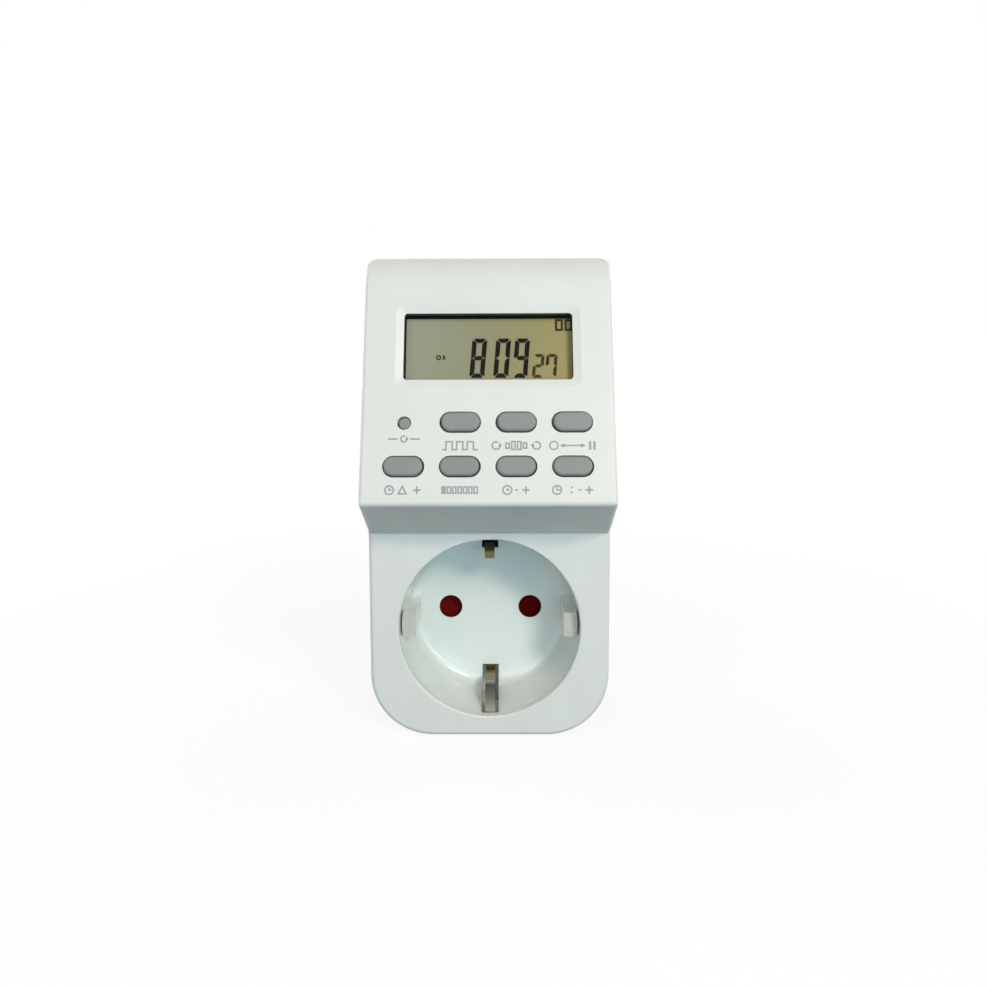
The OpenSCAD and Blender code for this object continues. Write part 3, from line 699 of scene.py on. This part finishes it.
FINISHES: dict[str, Finish] = {
    "housing": HousingFinish("housing_plastic", tone(237, 237, 233), tone(234, 234, 230), 0.42,
                             grain=0.00022, relief=0.000007),
    "socket": SocketFinish("socket_plastic", tone(229, 234, 231), tone(225, 231, 227), 0.13,
                           spread=0.05, patch=0.014, grain=0.0035, relief=0.000012, coat=0.35),
    "shutter": Finish("shutter_plastic", tone(116, 8, 12), tone(100, 6, 10), 0.5, gloss=0.04),
    "spring_steel": Finish("spring_wire", tone(206, 206, 202), tone(186, 187, 184), 0.28,
                           stretch=BRUSHED_UP, metallic=1.0),
    "screw_steel": Finish("screw_zinc", tone(200, 202, 203), tone(176, 180, 184), 0.34,
                          metallic=1.0),
    "brass": BrassFinish("clip_brass", tone(196, 182, 140), tone(172, 156, 116), 0.36, patch=0.004,
                         stretch=BRUSHED_DEEP, metallic=1.0),
    "copper": Finish("strip_copper", tone(214, 164, 132), tone(190, 136, 106), 0.34,
                     stretch=BRUSHED_UP, metallic=1.0),
    "pin_nickel": Finish("pin_nickel", tone(216, 213, 206), tone(200, 197, 190), 0.22, spread=0.1,
                         stretch=BRUSHED_DEEP, metallic=1.0),
    "carrier": Finish("carrier_plastic", tone(226, 218, 196), tone(216, 207, 184), 0.5),
    "window": ClearFinish("window_clear", (0.97, 0.98, 0.97), WHITE, 0.03,
                          grain=0.012, relief=0.000004, index=1.18),
    "lcd": DisplayFinish("display_film", tone(165, 168, 145), tone(182, 163, 116), 0.5, gloss=0.08),
    "holder": Finish("holder_plastic", tone(232, 232, 228), tone(222, 222, 218), 0.5),
    "contact_strip": StripedFinish("contact_strip", tone(60, 60, 62), tone(150, 148, 140), 0.6,
                                   pitch=0.0003),
    "key": Finish("key_plastic", tone(142, 146, 143), tone(136, 140, 137), 0.46, grain=0.00025,
                  relief=0.000008),
    "mat": Finish("mat_rubber", tone(172, 176, 178), tone(160, 165, 168), 0.62),
    "board": BoardFinish("control_lacquer", tone(22, 82, 48), tone(52, 122, 74), 0.24, coat=0.4),
    "power_board": BoardFinish("power_lacquer", tone(122, 126, 58), tone(156, 156, 84), 0.3,
                               coat=0.3, contour=0.0102),
    "chip": Finish("chip_epoxy", tone(38, 38, 40), tone(32, 32, 34), 0.55),
    "crystal": Finish("crystal_can", tone(206, 206, 202), tone(188, 189, 186), 0.25,
                      stretch=BRUSHED_UP, metallic=1.0),
    "cell": Finish("cell_sleeve", tone(40, 122, 78), tone(32, 108, 66), 0.3, coat=0.4),
    "relay": Finish("relay_cover", tone(40, 82, 156), tone(34, 72, 142), 0.28, coat=0.2),
    "film_capacitor": Finish("film_box", tone(224, 182, 60), tone(212, 168, 48), 0.3, coat=0.2),
    "capacitor_sleeve": Finish("capacitor_sleeve", tone(32, 38, 84), tone(24, 30, 70), 0.28,
                               coat=0.4),
    "varistor": Finish("varistor_dip", tone(62, 108, 160), tone(52, 94, 144), 0.5, relief=0.00004),
    "resistor": Finish("resistor_lacquer", tone(214, 196, 158), tone(200, 180, 140), 0.5),
    "cable": StripedFinish("cable_sheath", tone(176, 179, 182), tone(148, 151, 155), 0.45,
                           pitch=0.00127),
    "print": Finish("sign_print", tone(150, 160, 162), tone(160, 169, 170), 0.5),
    "segment": Finish("segment_dark", tone(14, 10, 6), tone(20, 15, 10), 0.5, gloss=0.02),
    "segment_small": Finish("segment_brown", tone(62, 50, 22), tone(70, 57, 27), 0.5, gloss=0.02),
}
MATERIALS: dict[str, bpy.types.Material] = {}


# flat printed work


@dataclass
class Mesh:
    """A closed mesh in the hood's own measures: rows of x, u and n in millimetres, and faces."""

    points: np.ndarray
    faces: list[list[int]]

    @staticmethod
    def joined(parts: Iterable[Mesh]) -> Mesh:
        """Puts several meshes into one, with the face numbers moved on.

        Args:
            parts: The meshes, in order.

        Returns:
            The one mesh.
        """
        points, faces, start = [], [], 0
        for part in parts:
            points.append(part.points)
            faces += [[start + i for i in face] for face in part.faces]
            start += len(part.points)
        return Mesh(np.concatenate(points), faces)


def slab(outline: np.ndarray, low: float, high: float) -> Mesh:
    """Raises a flat outline into a plate.

    The outline is taken twice, at both heights; the side faces join point i to point i + 1.

    Args:
        outline: Rows of x and u around the plate.
        low: Height of the plate's underside.
        high: Height of its top.

    Returns:
        The plate's mesh.
    """
    count = len(outline)
    levels = [np.column_stack([outline, np.full(count, level)]) for level in (low, high)]
    ring = np.arange(count)
    after = (ring + 1) % count
    sides = np.stack([ring, after, after + count, ring + count], axis=1)
    faces = [ring[::-1].tolist(), (ring + count).tolist(), *sides.tolist()]
    return Mesh(np.concatenate(levels), faces)


def stroke(path: np.ndarray, width: float, low: float, high: float, closed: bool = False) -> Mesh:
    """Carries a flat rectangular section along a path.

    At each point the path's two directions give a mean normal. At a corner it is lengthened by one
    over the cosine of half the turn, so the line keeps its width.

    Args:
        path: Rows of x and u along the line's middle.
        width: Width of the line.
        low: Height of the line's underside.
        high: Height of its top.
        closed: True where the last point leads back to the first.

    Returns:
        The line's mesh.
    """
    ahead = np.roll(path, -1, axis=0) - path
    ahead /= np.linalg.norm(ahead, axis=1, keepdims=True)
    behind = np.roll(ahead, 1, axis=0)
    if not closed:
        ahead[-1], behind[0] = ahead[-2], ahead[0]
    side = np.stack([-(ahead + behind)[:, 1], (ahead + behind)[:, 0]], axis=1)
    side *= width / (1 + np.sum(ahead * behind, axis=1, keepdims=True)) / 2
    count = len(path)
    rows = [np.column_stack([path + sign * side, np.full(count, level)])
            for sign, level in ((1, low), (1, high), (-1, high), (-1, low))]
    station = np.arange(count if closed else count - 1)
    after = (station + 1) % count
    faces = []
    for row in range(4):
        beside = (row + 1) % 4
        faces += np.stack([row * count + station, row * count + after, beside * count + after,
                           beside * count + station], axis=1).tolist()
    if not closed:
        first = [row * count for row in range(4)]
        faces += [first, [point + count - 1 for point in reversed(first)]]
    return Mesh(np.concatenate(rows), faces)


class Drawing:
    """Flat printed work on or under the hood's face, built up shape by shape in millimetres."""

    ARC_POINTS = 33

    def __init__(self, low: float, high: float, line: float) -> None:
        """Starts an empty drawing.

        Args:
            low: Height of the print's underside out of the face.
            high: Height of its top.
            line: Width of its lines.
        """
        self.low = low
        self.high = high
        self.width = line
        self.parts: list[Mesh] = []

    def line(self, *points: Point, closed: bool = False) -> Drawing:
        """Draws straight lines from point to point."""
        self.parts.append(stroke(np.array(points, float), self.width, self.low, self.high, closed))
        return self

    def fill(self, *points: Point) -> Drawing:
        """Fills an outline."""
        self.parts.append(slab(np.array(points, float), self.low, self.high))
        return self

    def arc(self, x: float, u: float, radius: float, start: float, end: float) -> Drawing:
        """Draws part of a circle: the point at angle a is the centre plus the radius along a.

        Args:
            x: Centre across.
            u: Centre up the face.
            radius: Radius of the line's middle.
            start: First angle in degrees, counted from the right.
            end: Last angle in degrees; a full turn closes the circle.

        Returns:
            This drawing.
        """
        full = abs(end - start) >= 360
        turn = np.radians(np.linspace(start, end, self.ARC_POINTS))
        turn = turn[:-1] if full else turn
        path = np.column_stack([x + radius * np.cos(turn), u + radius * np.sin(turn)])
        self.parts.append(stroke(path, self.width, self.low, self.high, full))
        return self

    def box(self, x: float, u: float, width: float, height: float, filled: bool = False) -> Drawing:
        """Draws a rectangle about a centre."""
        w, h = width / 2, height / 2
        corners = [(x - w, u - h), (x + w, u - h), (x + w, u + h), (x - w, u + h)]
        return self.fill(*corners) if filled else self.line(*corners, closed=True)

    def arrow(self, x: float, u: float, turn: float, size: float) -> Drawing:
        """Fills an arrow head whose tip points along a turn in degrees."""
        angles = [math.radians(turn + part) for part in (0, 130, 230)]
        return self.fill(*[(x + size * math.cos(a), u + size * math.sin(a)) for a in angles])

    def clock(self, x: float, u: float, radius: float, hand: float) -> Drawing:
        """Draws a round clock face with an upright hand and one to the right."""
        self.arc(x, u, radius, 0, 360)
        return self.line((x, u + hand * radius), (x, u), (x + hand * radius, u))

    def plus(self, x: float, u: float, size: float) -> Drawing:
        """Draws a plus sign."""
        self.line((x - size, u), (x + size, u))
        return self.line((x, u - size), (x, u + size))

    def build(self, name: str, x: float, u: float, finish: str, slot: str) -> None:
        """Makes the piece on the hood's face.

        Args:
            name: The piece's name.
            x: Where its own zero lies across the face.
            u: Where its own zero lies up the face.
            finish: Key of its finish.
            slot: The record's material slot that it belongs to; not used.
        """
        mesh = Mesh.joined(self.parts)
        across, up, out = mesh.points.T
        data = bpy.data.meshes.new(name)
        data.from_pydata(HOOD.lift(across + x, up + u, out).tolist(), [], mesh.faces)
        shape = bmesh.new()
        shape.from_mesh(data)
        bmesh.ops.recalc_face_normals(shape, faces=shape.faces)
        shape.to_mesh(data)
        shape.free()
        data.materials.append(MATERIALS[finish])
        piece = bpy.data.objects.new(name, data)
        bpy.context.scene.collection.objects.link(piece)
        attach(piece, "housing")
        LOG.info("%s: %d faces", name, len(data.polygons))


@dataclass(frozen=True)
class PrintedSigns:
    """The pale grey signs printed beside the keys, in the hood's own measures in millimetres.

    Attributes:
        line: Width of the printed lines.
        thick: Thickness of the print.
        column: Distance between two columns of keys.
        upper: Height of the upper row of signs up the face.
        lower: Height of the lower row.
        reset_up: Height of the reset button's sign.
    """

    line: float = 0.33
    thick: float = 0.02
    column: float = 11.7
    upper: float = 12.55
    lower: float = 3.2
    reset_up: float = 14.0

    def sheet(self) -> Drawing:
        """A new drawing on the hood's face."""
        return Drawing(0.0, self.thick, self.line)

    def reset(self) -> Drawing:
        """A circular arrow between two bars."""
        return (self.sheet().arc(0, 0, 0.62, 70, 370).arrow(0.62, 0.16, 95, 0.42)
                .line((-3.3, 0), (-1.3, 0)).line((1.3, 0), (3.3, 0)))

    def program(self) -> Drawing:
        """Three on and off periods as a square wave."""
        path = [(-3.7, -0.85)]
        for start in (-2.9, -0.7, 1.5):
            path += [(start, -0.85), (start, 0.85), (start + 1.3, 0.85), (start + 1.3, -0.85)]
        return self.sheet().line(*path, (3.7, -0.85))

    def recall(self) -> Drawing:
        """Two circular arrows that turn against each other, with steps between them."""
        sheet = self.sheet().arc(-4.2, 0, 0.8, 60, 360).arrow(-3.4, 0.18, 95, 0.5)
        sheet.arc(4.2, 0, 0.8, -180, 120).arrow(3.4, 0.18, 85, 0.5)
        for step in (-1.8, -0.6, 0.6, 1.8):
            sheet.box(step, 0, 0.7, 1.7 if abs(step) < 1 else 1.1)
        return sheet

    def manual(self) -> Drawing:
        """An open ring, an arrow both ways and two filled bars."""
        sheet = self.sheet().arc(-3.9, 0, 0.85, 0, 360).line((-1.9, 0), (1.9, 0))
        sheet.arrow(-2.1, 0, 180, 0.6).arrow(2.1, 0, 0, 0.6)
        return sheet.box(3.6, 0, 0.5, 1.8, filled=True).box(4.5, 0, 0.5, 1.8, filled=True)

    def clock(self) -> Drawing:
        """A clock face, a triangle and a plus."""
        return (self.sheet().clock(-2.8, 0, 0.88, 0.6)
                .line((-0.9, -0.75), (0.7, -0.75), (-0.1, 0.8), closed=True).plus(2.9, 0, 0.8))

    def week(self) -> Drawing:
        """Seven upright boxes in a row, the first one filled."""
        sheet, width, height = self.sheet(), 0.66, 1.3
        sheet.box(-3.3, 0, width + self.line, height + self.line, filled=True)
        for day in range(1, 7):
            sheet.box((day - 3) * 1.1, 0, width, height)
        return sheet

    def hour(self) -> Drawing:
        """A clock face with short hands, a dash and a plus."""
        return self.sheet().clock(-1.9, 0, 0.9, 0.5).plus(1.9, 0, 0.75).line((-0.3, 0), (0.3, 0))

    def minute(self) -> Drawing:
        """A clock face with long hands, two dots, a dash and a plus."""
        sheet = self.sheet().clock(-3.4, 0, 0.9, 0.78)
        sheet.box(-0.4, 0.5, 0.4, 0.4, filled=True).box(-0.4, -0.5, 0.4, 0.4, filled=True)
        return sheet.plus(3.2, 0, 0.8).line((1.0, 0), (1.6, 0))

    def build(self) -> None:
        """Prints every sign in its place."""
        half = self.column / 2
        places = (
            (self.reset, -3, self.reset_up), (self.program, -1, self.upper),
            (self.recall, 1, self.upper), (self.manual, 3, self.upper),
            (self.clock, -3, self.lower), (self.week, -1, self.lower),
            (self.hour, 1, self.lower), (self.minute, 3, self.lower))
        for sign, step, u in places:
            sign().build("sign_" + sign.__name__, step * half, u, "print", "key")


class Bar(Enum):
    """A digit's seven bars, each between two corners of its grid: column and row of both."""

    TOP = (0, 2, 1, 2)
    UPPER_LEFT = (0, 1, 0, 2)
    UPPER_RIGHT = (1, 1, 1, 2)
    MIDDLE = (0, 1, 1, 1)
    LOWER_LEFT = (0, 0, 0, 1)
    LOWER_RIGHT = (1, 0, 1, 1)
    BOTTOM = (0, 0, 1, 0)


LEFT_OUT: dict[int, tuple[Bar, ...]] = {
    0: (Bar.MIDDLE,), 2: (Bar.UPPER_LEFT, Bar.LOWER_RIGHT), 8: (), 9: (Bar.LOWER_LEFT,),
    7: (Bar.MIDDLE, Bar.LOWER_LEFT, Bar.BOTTOM)}


@dataclass(frozen=True)
class Readout:
    """The display's digits and marks, thin plates on the front of the cell, in millimetres.

    Attributes:
        lean: How far the digits lean to the right for each millimetre of height.
        thick: Thickness of the plates.
        foot: Height of the digits' feet up the hood's face.
        gap: Distance of a bar's tip from its grid corner.
        run_on: How far an outer side runs past a digit's corner, in shares of half a bar's width.
        time: The large digits, each with its left edge at its foot.
        time_size: Their upright width, their height and their bars' width.
        seconds: The small digits, in the same way.
        seconds_size: Their sizes.
    """

    lean: float = 0.08
    thick: float = 0.04
    foot: float = 28.15
    gap: float = 0.07
    run_on: float = 0.35
    time: tuple[tuple[int, float], ...] = ((8, -4.14), (0, 1.0), (9, 5.1))
    time_size: Point3 = (3.22, 8.9, 1.0)
    seconds: tuple[tuple[int, float], ...] = ((2, 9.3), (7, 12.1))
    seconds_size: Point3 = (2.4, 5.35, 0.7)

    def back(self, lead: float, row: int, half: float) -> float:
        """Works out how far one side of a bar stops short of a grid corner.

        Args:
            lead: How far the bar lies to that side of the digit's middle.
            row: The corner's row, 1 for the middle one.
            half: Half the bar's width.

        Returns:
            The distance, below 0 where an outer side runs past a corner of the digit.
        """
        if lead < half:
            return self.gap + half
        return self.gap if row == 1 else self.gap - self.run_on * half

    def digit(self, sheet: Drawing, value: int, x: float, size: Point3) -> None:
        """Draws one digit of seven bars.

        Each bar is a hexagon about the line between two grid corners: at each end it has a point on
        that line, and its two sides stop short of the corner by their own lengths. Its outer side
        is the one away from the digit's middle. Every point moves right by the lean times its
        height.

        Args:
            sheet: The drawing that takes it.
            value: The digit.
            x: The digit's left edge at its foot.
            size: Its upright width, its height and its bars' width.
        """
        width, height, bar = size
        half = bar / 2
        columns = (x + half, x + width - half)
        rows = (half, height / 2, height - half)
        middle = np.array([x + width / 2, height / 2])
        for c0, r0, c1, r1 in (part.value for part in Bar if part not in LEFT_OUT[value]):
            start, end = np.array([columns[c0], rows[r0]]), np.array([columns[c1], rows[r1]])
            along = (end - start) / np.linalg.norm(end - start)
            side = np.array([-along[1], along[0]])
            lead = float(((start + end) / 2 - middle) @ side)
            outline = []
            for corner, inward, row, sign in ((start, along, r0, 1), (end, -along, r1, -1)):
                first, last = (
                    corner + inward * self.back(lead * way, row, half) + side * half * way
                    for way in (sign, -sign))
                outline += [first, corner + inward * self.gap, last]
            plate = np.array(outline)
            plate[:, 0] += self.lean * plate[:, 1]
            sheet.fill(*plate.tolist())

    def sheet(self, line: float = 0.3) -> Drawing:
        """A new drawing on the front of the display cell."""
        return Drawing(-WINDOW.cell_depth, self.thick - WINDOW.cell_depth, line)

    def build(self) -> None:
        """Draws the hour and minutes, the seconds, and the day and state marks."""
        groups = {"display_time": (self.time, self.time_size, "segment"),
                  "display_seconds": (self.seconds, self.seconds_size, "segment_small")}
        for name, (digits, size, finish) in groups.items():
            sheet = self.sheet()
            for value, x in digits:
                self.digit(sheet, value, x, size)
            sheet.build(name, 0, self.foot, finish, "lcd")
        days = self.sheet(0.5).box(-1.05, 0, 1.25, 2.2).box(1.0, 0, 1.25, 2.2)
        days.build("display_day_mark", 16.35, 40.1, "segment_small", "lcd")
        state = self.sheet().arc(-0.5, 0, 0.42, 0, 360).box(0.65, 0, 0.45, 1.0, filled=True)
        state.build("display_state_mark", -10.24, 32.76, "segment_small", "lcd")


# studio


@dataclass(frozen=True)
class Lamp:
    """A soft box that faces the object, in metres, degrees and watts.

    Attributes:
        name: The lamp's name.
        turn: Its direction from the object, to the right of the front.
        rise: Its direction above the floor.
        far: Distance from the object's middle.
        width: Width of the box.
        height: Height of the box.
        power: Its power.
        color: Colour of its light.
    """

    name: str
    turn: float
    rise: float
    far: float
    width: float
    height: float
    power: float
    color: Color

    def build(self, aim: Vector) -> None:
        """Hangs the lamp and turns it to a point.

        Args:
            aim: The point, near the object's middle.
        """
        turn, rise = math.radians(self.turn), math.radians(self.rise)
        flat = math.cos(rise)
        way = Vector((math.sin(turn) * flat, -math.cos(turn) * flat, math.sin(rise)))
        data = bpy.data.lights.new(self.name, "AREA")
        data.shape = "RECTANGLE"
        data.size, data.size_y = self.width, self.height
        data.energy, data.color = self.power, self.color
        lamp = bpy.data.objects.new(self.name, data)
        lamp.location = aim + way * self.far
        lamp.rotation_euler = way.to_track_quat("Z", "Y").to_euler()
        bpy.context.scene.collection.objects.link(lamp)


@dataclass(frozen=True)
class Studio:
    """The white surroundings and the soft lamps, in metres.

    Attributes:
        ambient: Light of the sky.
        level: Height of the floor.
        reach: Half the floor's width.
        cells: Number of its cells each way.
        fade: How fast it whitens away from the object, in shares per metre.
        pale: Share of white that it shows with beside the object.
        cloth: The tone with which it throws light up.
        paper: The tone on which it shows the object's shadow.
        glow: Strength of its white.
        aim: Where the lamps point.
        lamps: The soft boxes.
    """

    ambient: Color = (0.18, 0.23, 0.24)
    level: float = -0.02482
    reach: float = 3.0
    cells: int = 8
    fade: float = 3.0
    pale: float = 0.8
    cloth: Color = (0.15, 0.15, 0.15)
    paper: Color = (0.86, 0.87, 0.87)
    glow: float = 1.04
    aim: Point3 = (0.0, -0.05, 0.03)
    lamps: tuple[Lamp, ...] = (
        Lamp("key_box", 27, 31, 0.9, 0.2, 0.2, 4.2, (1.0, 0.86, 0.74)),
        Lamp("left_box", -35, 28, 0.9, 0.4, 0.4, 1.1, (1.0, 0.78, 0.72)),
        Lamp("low_box", 12, 2, 0.9, 0.9, 0.3, 3.4, (0.46, 0.85, 1.0)),
        Lamp("back_left_box", -125, 12, 0.9, 0.5, 0.5, 4.5, (1.0, 0.96, 0.94)),
        Lamp("back_right_box", 130, 8, 0.9, 0.5, 0.5, 3.8, (1.0, 0.96, 0.94)),
    )

    @staticmethod
    def seen_white(graph: Graph) -> Val:
        """Finds the rays that see the white background: from the camera, a mirror or clear plastic.

        Args:
            graph: The nodes of the world or the floor.

        Returns:
            1 for such a ray, else 0.
        """
        path = graph.node("LightPath")
        camera, glossy, clear = (Val(graph, path.outputs[f"Is {kind} Ray"])
                                 for kind in ("Camera", "Glossy", "Transmission"))
        return camera.larger(glossy).larger(clear)

    def world(self) -> None:
        """Sets up a dim cool sky for lighting that shows as plain white."""
        world = bpy.data.worlds.new("studio")
        bpy.context.scene.world = world
        graph = Graph(world)
        lit = graph.node("Background", sockets={"Color": self.ambient, "Strength": 1.0})
        white = graph.node("Background", sockets={"Color": WHITE, "Strength": 1.0})
        graph.finish(graph.mix(self.seen_white(graph), lit, white).outputs[0])

    def sheet(self) -> bpy.types.Mesh:
        """Makes the floor's flat grid, where point j of row i has the number i times a row plus j.

        Returns:
            The new mesh.
        """
        row = self.cells + 1
        edge = np.linspace(-self.reach, self.reach, row)
        x, y = np.meshgrid(edge, edge, indexing="ij")
        points = np.stack([x, y, np.full_like(x, self.level)], axis=-1).reshape(-1, 3)
        cell = np.arange(self.cells)
        first = (cell[:, None] * row + cell).reshape(-1)
        faces = np.stack([first, first + row, first + row + 1, first + 1], axis=1)
        data = bpy.data.meshes.new("floor")
        data.from_pydata(points.tolist(), [], faces.tolist())
        return data

    def floor(self) -> None:
        """Lays a floor that shows pale with the object's shadow, and throws little light up."""
        material = bpy.data.materials.new("floor_paper")
        graph = Graph(material)
        across, deep, _ = graph.axes()
        away = ((across * across + deep * deep) ** 0.5 * self.fade).held()
        cloth = graph.node("BsdfDiffuse", sockets={"Color": self.cloth})
        paper = graph.node("BsdfDiffuse", sockets={"Color": self.paper})
        white = graph.node("Emission", sockets={"Color": WHITE, "Strength": self.glow})
        shown = graph.mix(self.pale + (1 - self.pale) * away, paper, white)
        graph.finish(graph.mix(self.seen_white(graph), cloth, shown).outputs[0])
        data = self.sheet()
        data.materials.append(material)
        plane = bpy.data.objects.new("floor", data)
        bpy.context.scene.collection.objects.link(plane)

    def build(self) -> None:
        """Sets up the world, the floor and the lamps."""
        bpy.context.scene.view_settings.view_transform = "Standard"
        self.world()
        self.floor()
        for lamp in self.lamps:
            lamp.build(Vector(self.aim))


@dataclass(frozen=True)
class Camera:
    """The camera, close to the front and a little above it; its angles are in degrees.

    Attributes:
        place: Where it stands, in metres.
        pitch: How far it looks down.
        yaw: How far it looks to the right.
        roll: How far it leans.
        lens: Focal length, in millimetres.
        sensor: Width of the sensor, in millimetres.
        shift: Upward shift of the picture, in shares of its width.
    """

    place: Point3 = (0.002832, -0.262035, 0.071822)
    pitch: float = 6.432
    yaw: float = -0.497
    roll: float = -0.193
    lens: float = 36.933
    sensor: float = 36.0
    shift: float = -0.0740

    def build(self) -> None:
        """Makes the camera the scene's own."""
        pitch, yaw, roll = (math.radians(a) for a in (self.pitch, self.yaw, self.roll))
        flat = math.cos(pitch)
        ahead = Vector((math.sin(yaw) * flat, math.cos(yaw) * flat, -math.sin(pitch)))
        level = Vector((math.cos(yaw), -math.sin(yaw), 0.0))
        upright = level.cross(ahead)
        right = level * math.cos(roll) + upright * math.sin(roll)
        up = upright * math.cos(roll) - level * math.sin(roll)
        data = bpy.data.cameras.new("camera")
        data.sensor_fit, data.sensor_width = "HORIZONTAL", self.sensor
        data.lens, data.shift_y = self.lens, self.shift
        data.clip_start = 0.01
        camera = bpy.data.objects.new("camera", data)
        turn = Matrix((right, up, -ahead)).transposed().to_4x4()
        camera.matrix_world = Matrix.Translation(self.place) @ turn
        bpy.context.scene.collection.objects.link(camera)
        bpy.context.scene.camera = camera


# the object


class TimerSwitch:
    """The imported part: each node gets the finish of its material slot, and the prints are added."""

    def __init__(self, frame: dict) -> None:
        """Keeps the frame's nodes and the slot of each."""
        self.nodes: dict[str, bpy.types.Object] = frame["nodes"]
        self.slots = {part["node"]: part["material_slot"] for part in frame["record"]["subparts"]}

    def dress(self) -> None:
        """Gives every node its finish."""
        for name, node in self.nodes.items():
            node.data.materials.clear()
            node.data.materials.append(MATERIALS[self.slots[name]])
            LOG.info("%s: %s", name, self.slots[name])

    def build(self) -> None:
        """Dresses the nodes, then prints the signs and draws the display."""
        self.dress()
        PrintedSigns().build()
        Readout().build()


def main() -> None:
    """Loads the frame, dresses it and sets the studio around it."""
    logging.basicConfig(level=logging.INFO, format="%(name)s: %(message)s")
    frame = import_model()
    MATERIALS.update({name: finish.build() for name, finish in FINISHES.items()})
    Camera().build()
    Studio().build()
    TimerSwitch(frame).build()


if __name__ == "__main__":
    main()
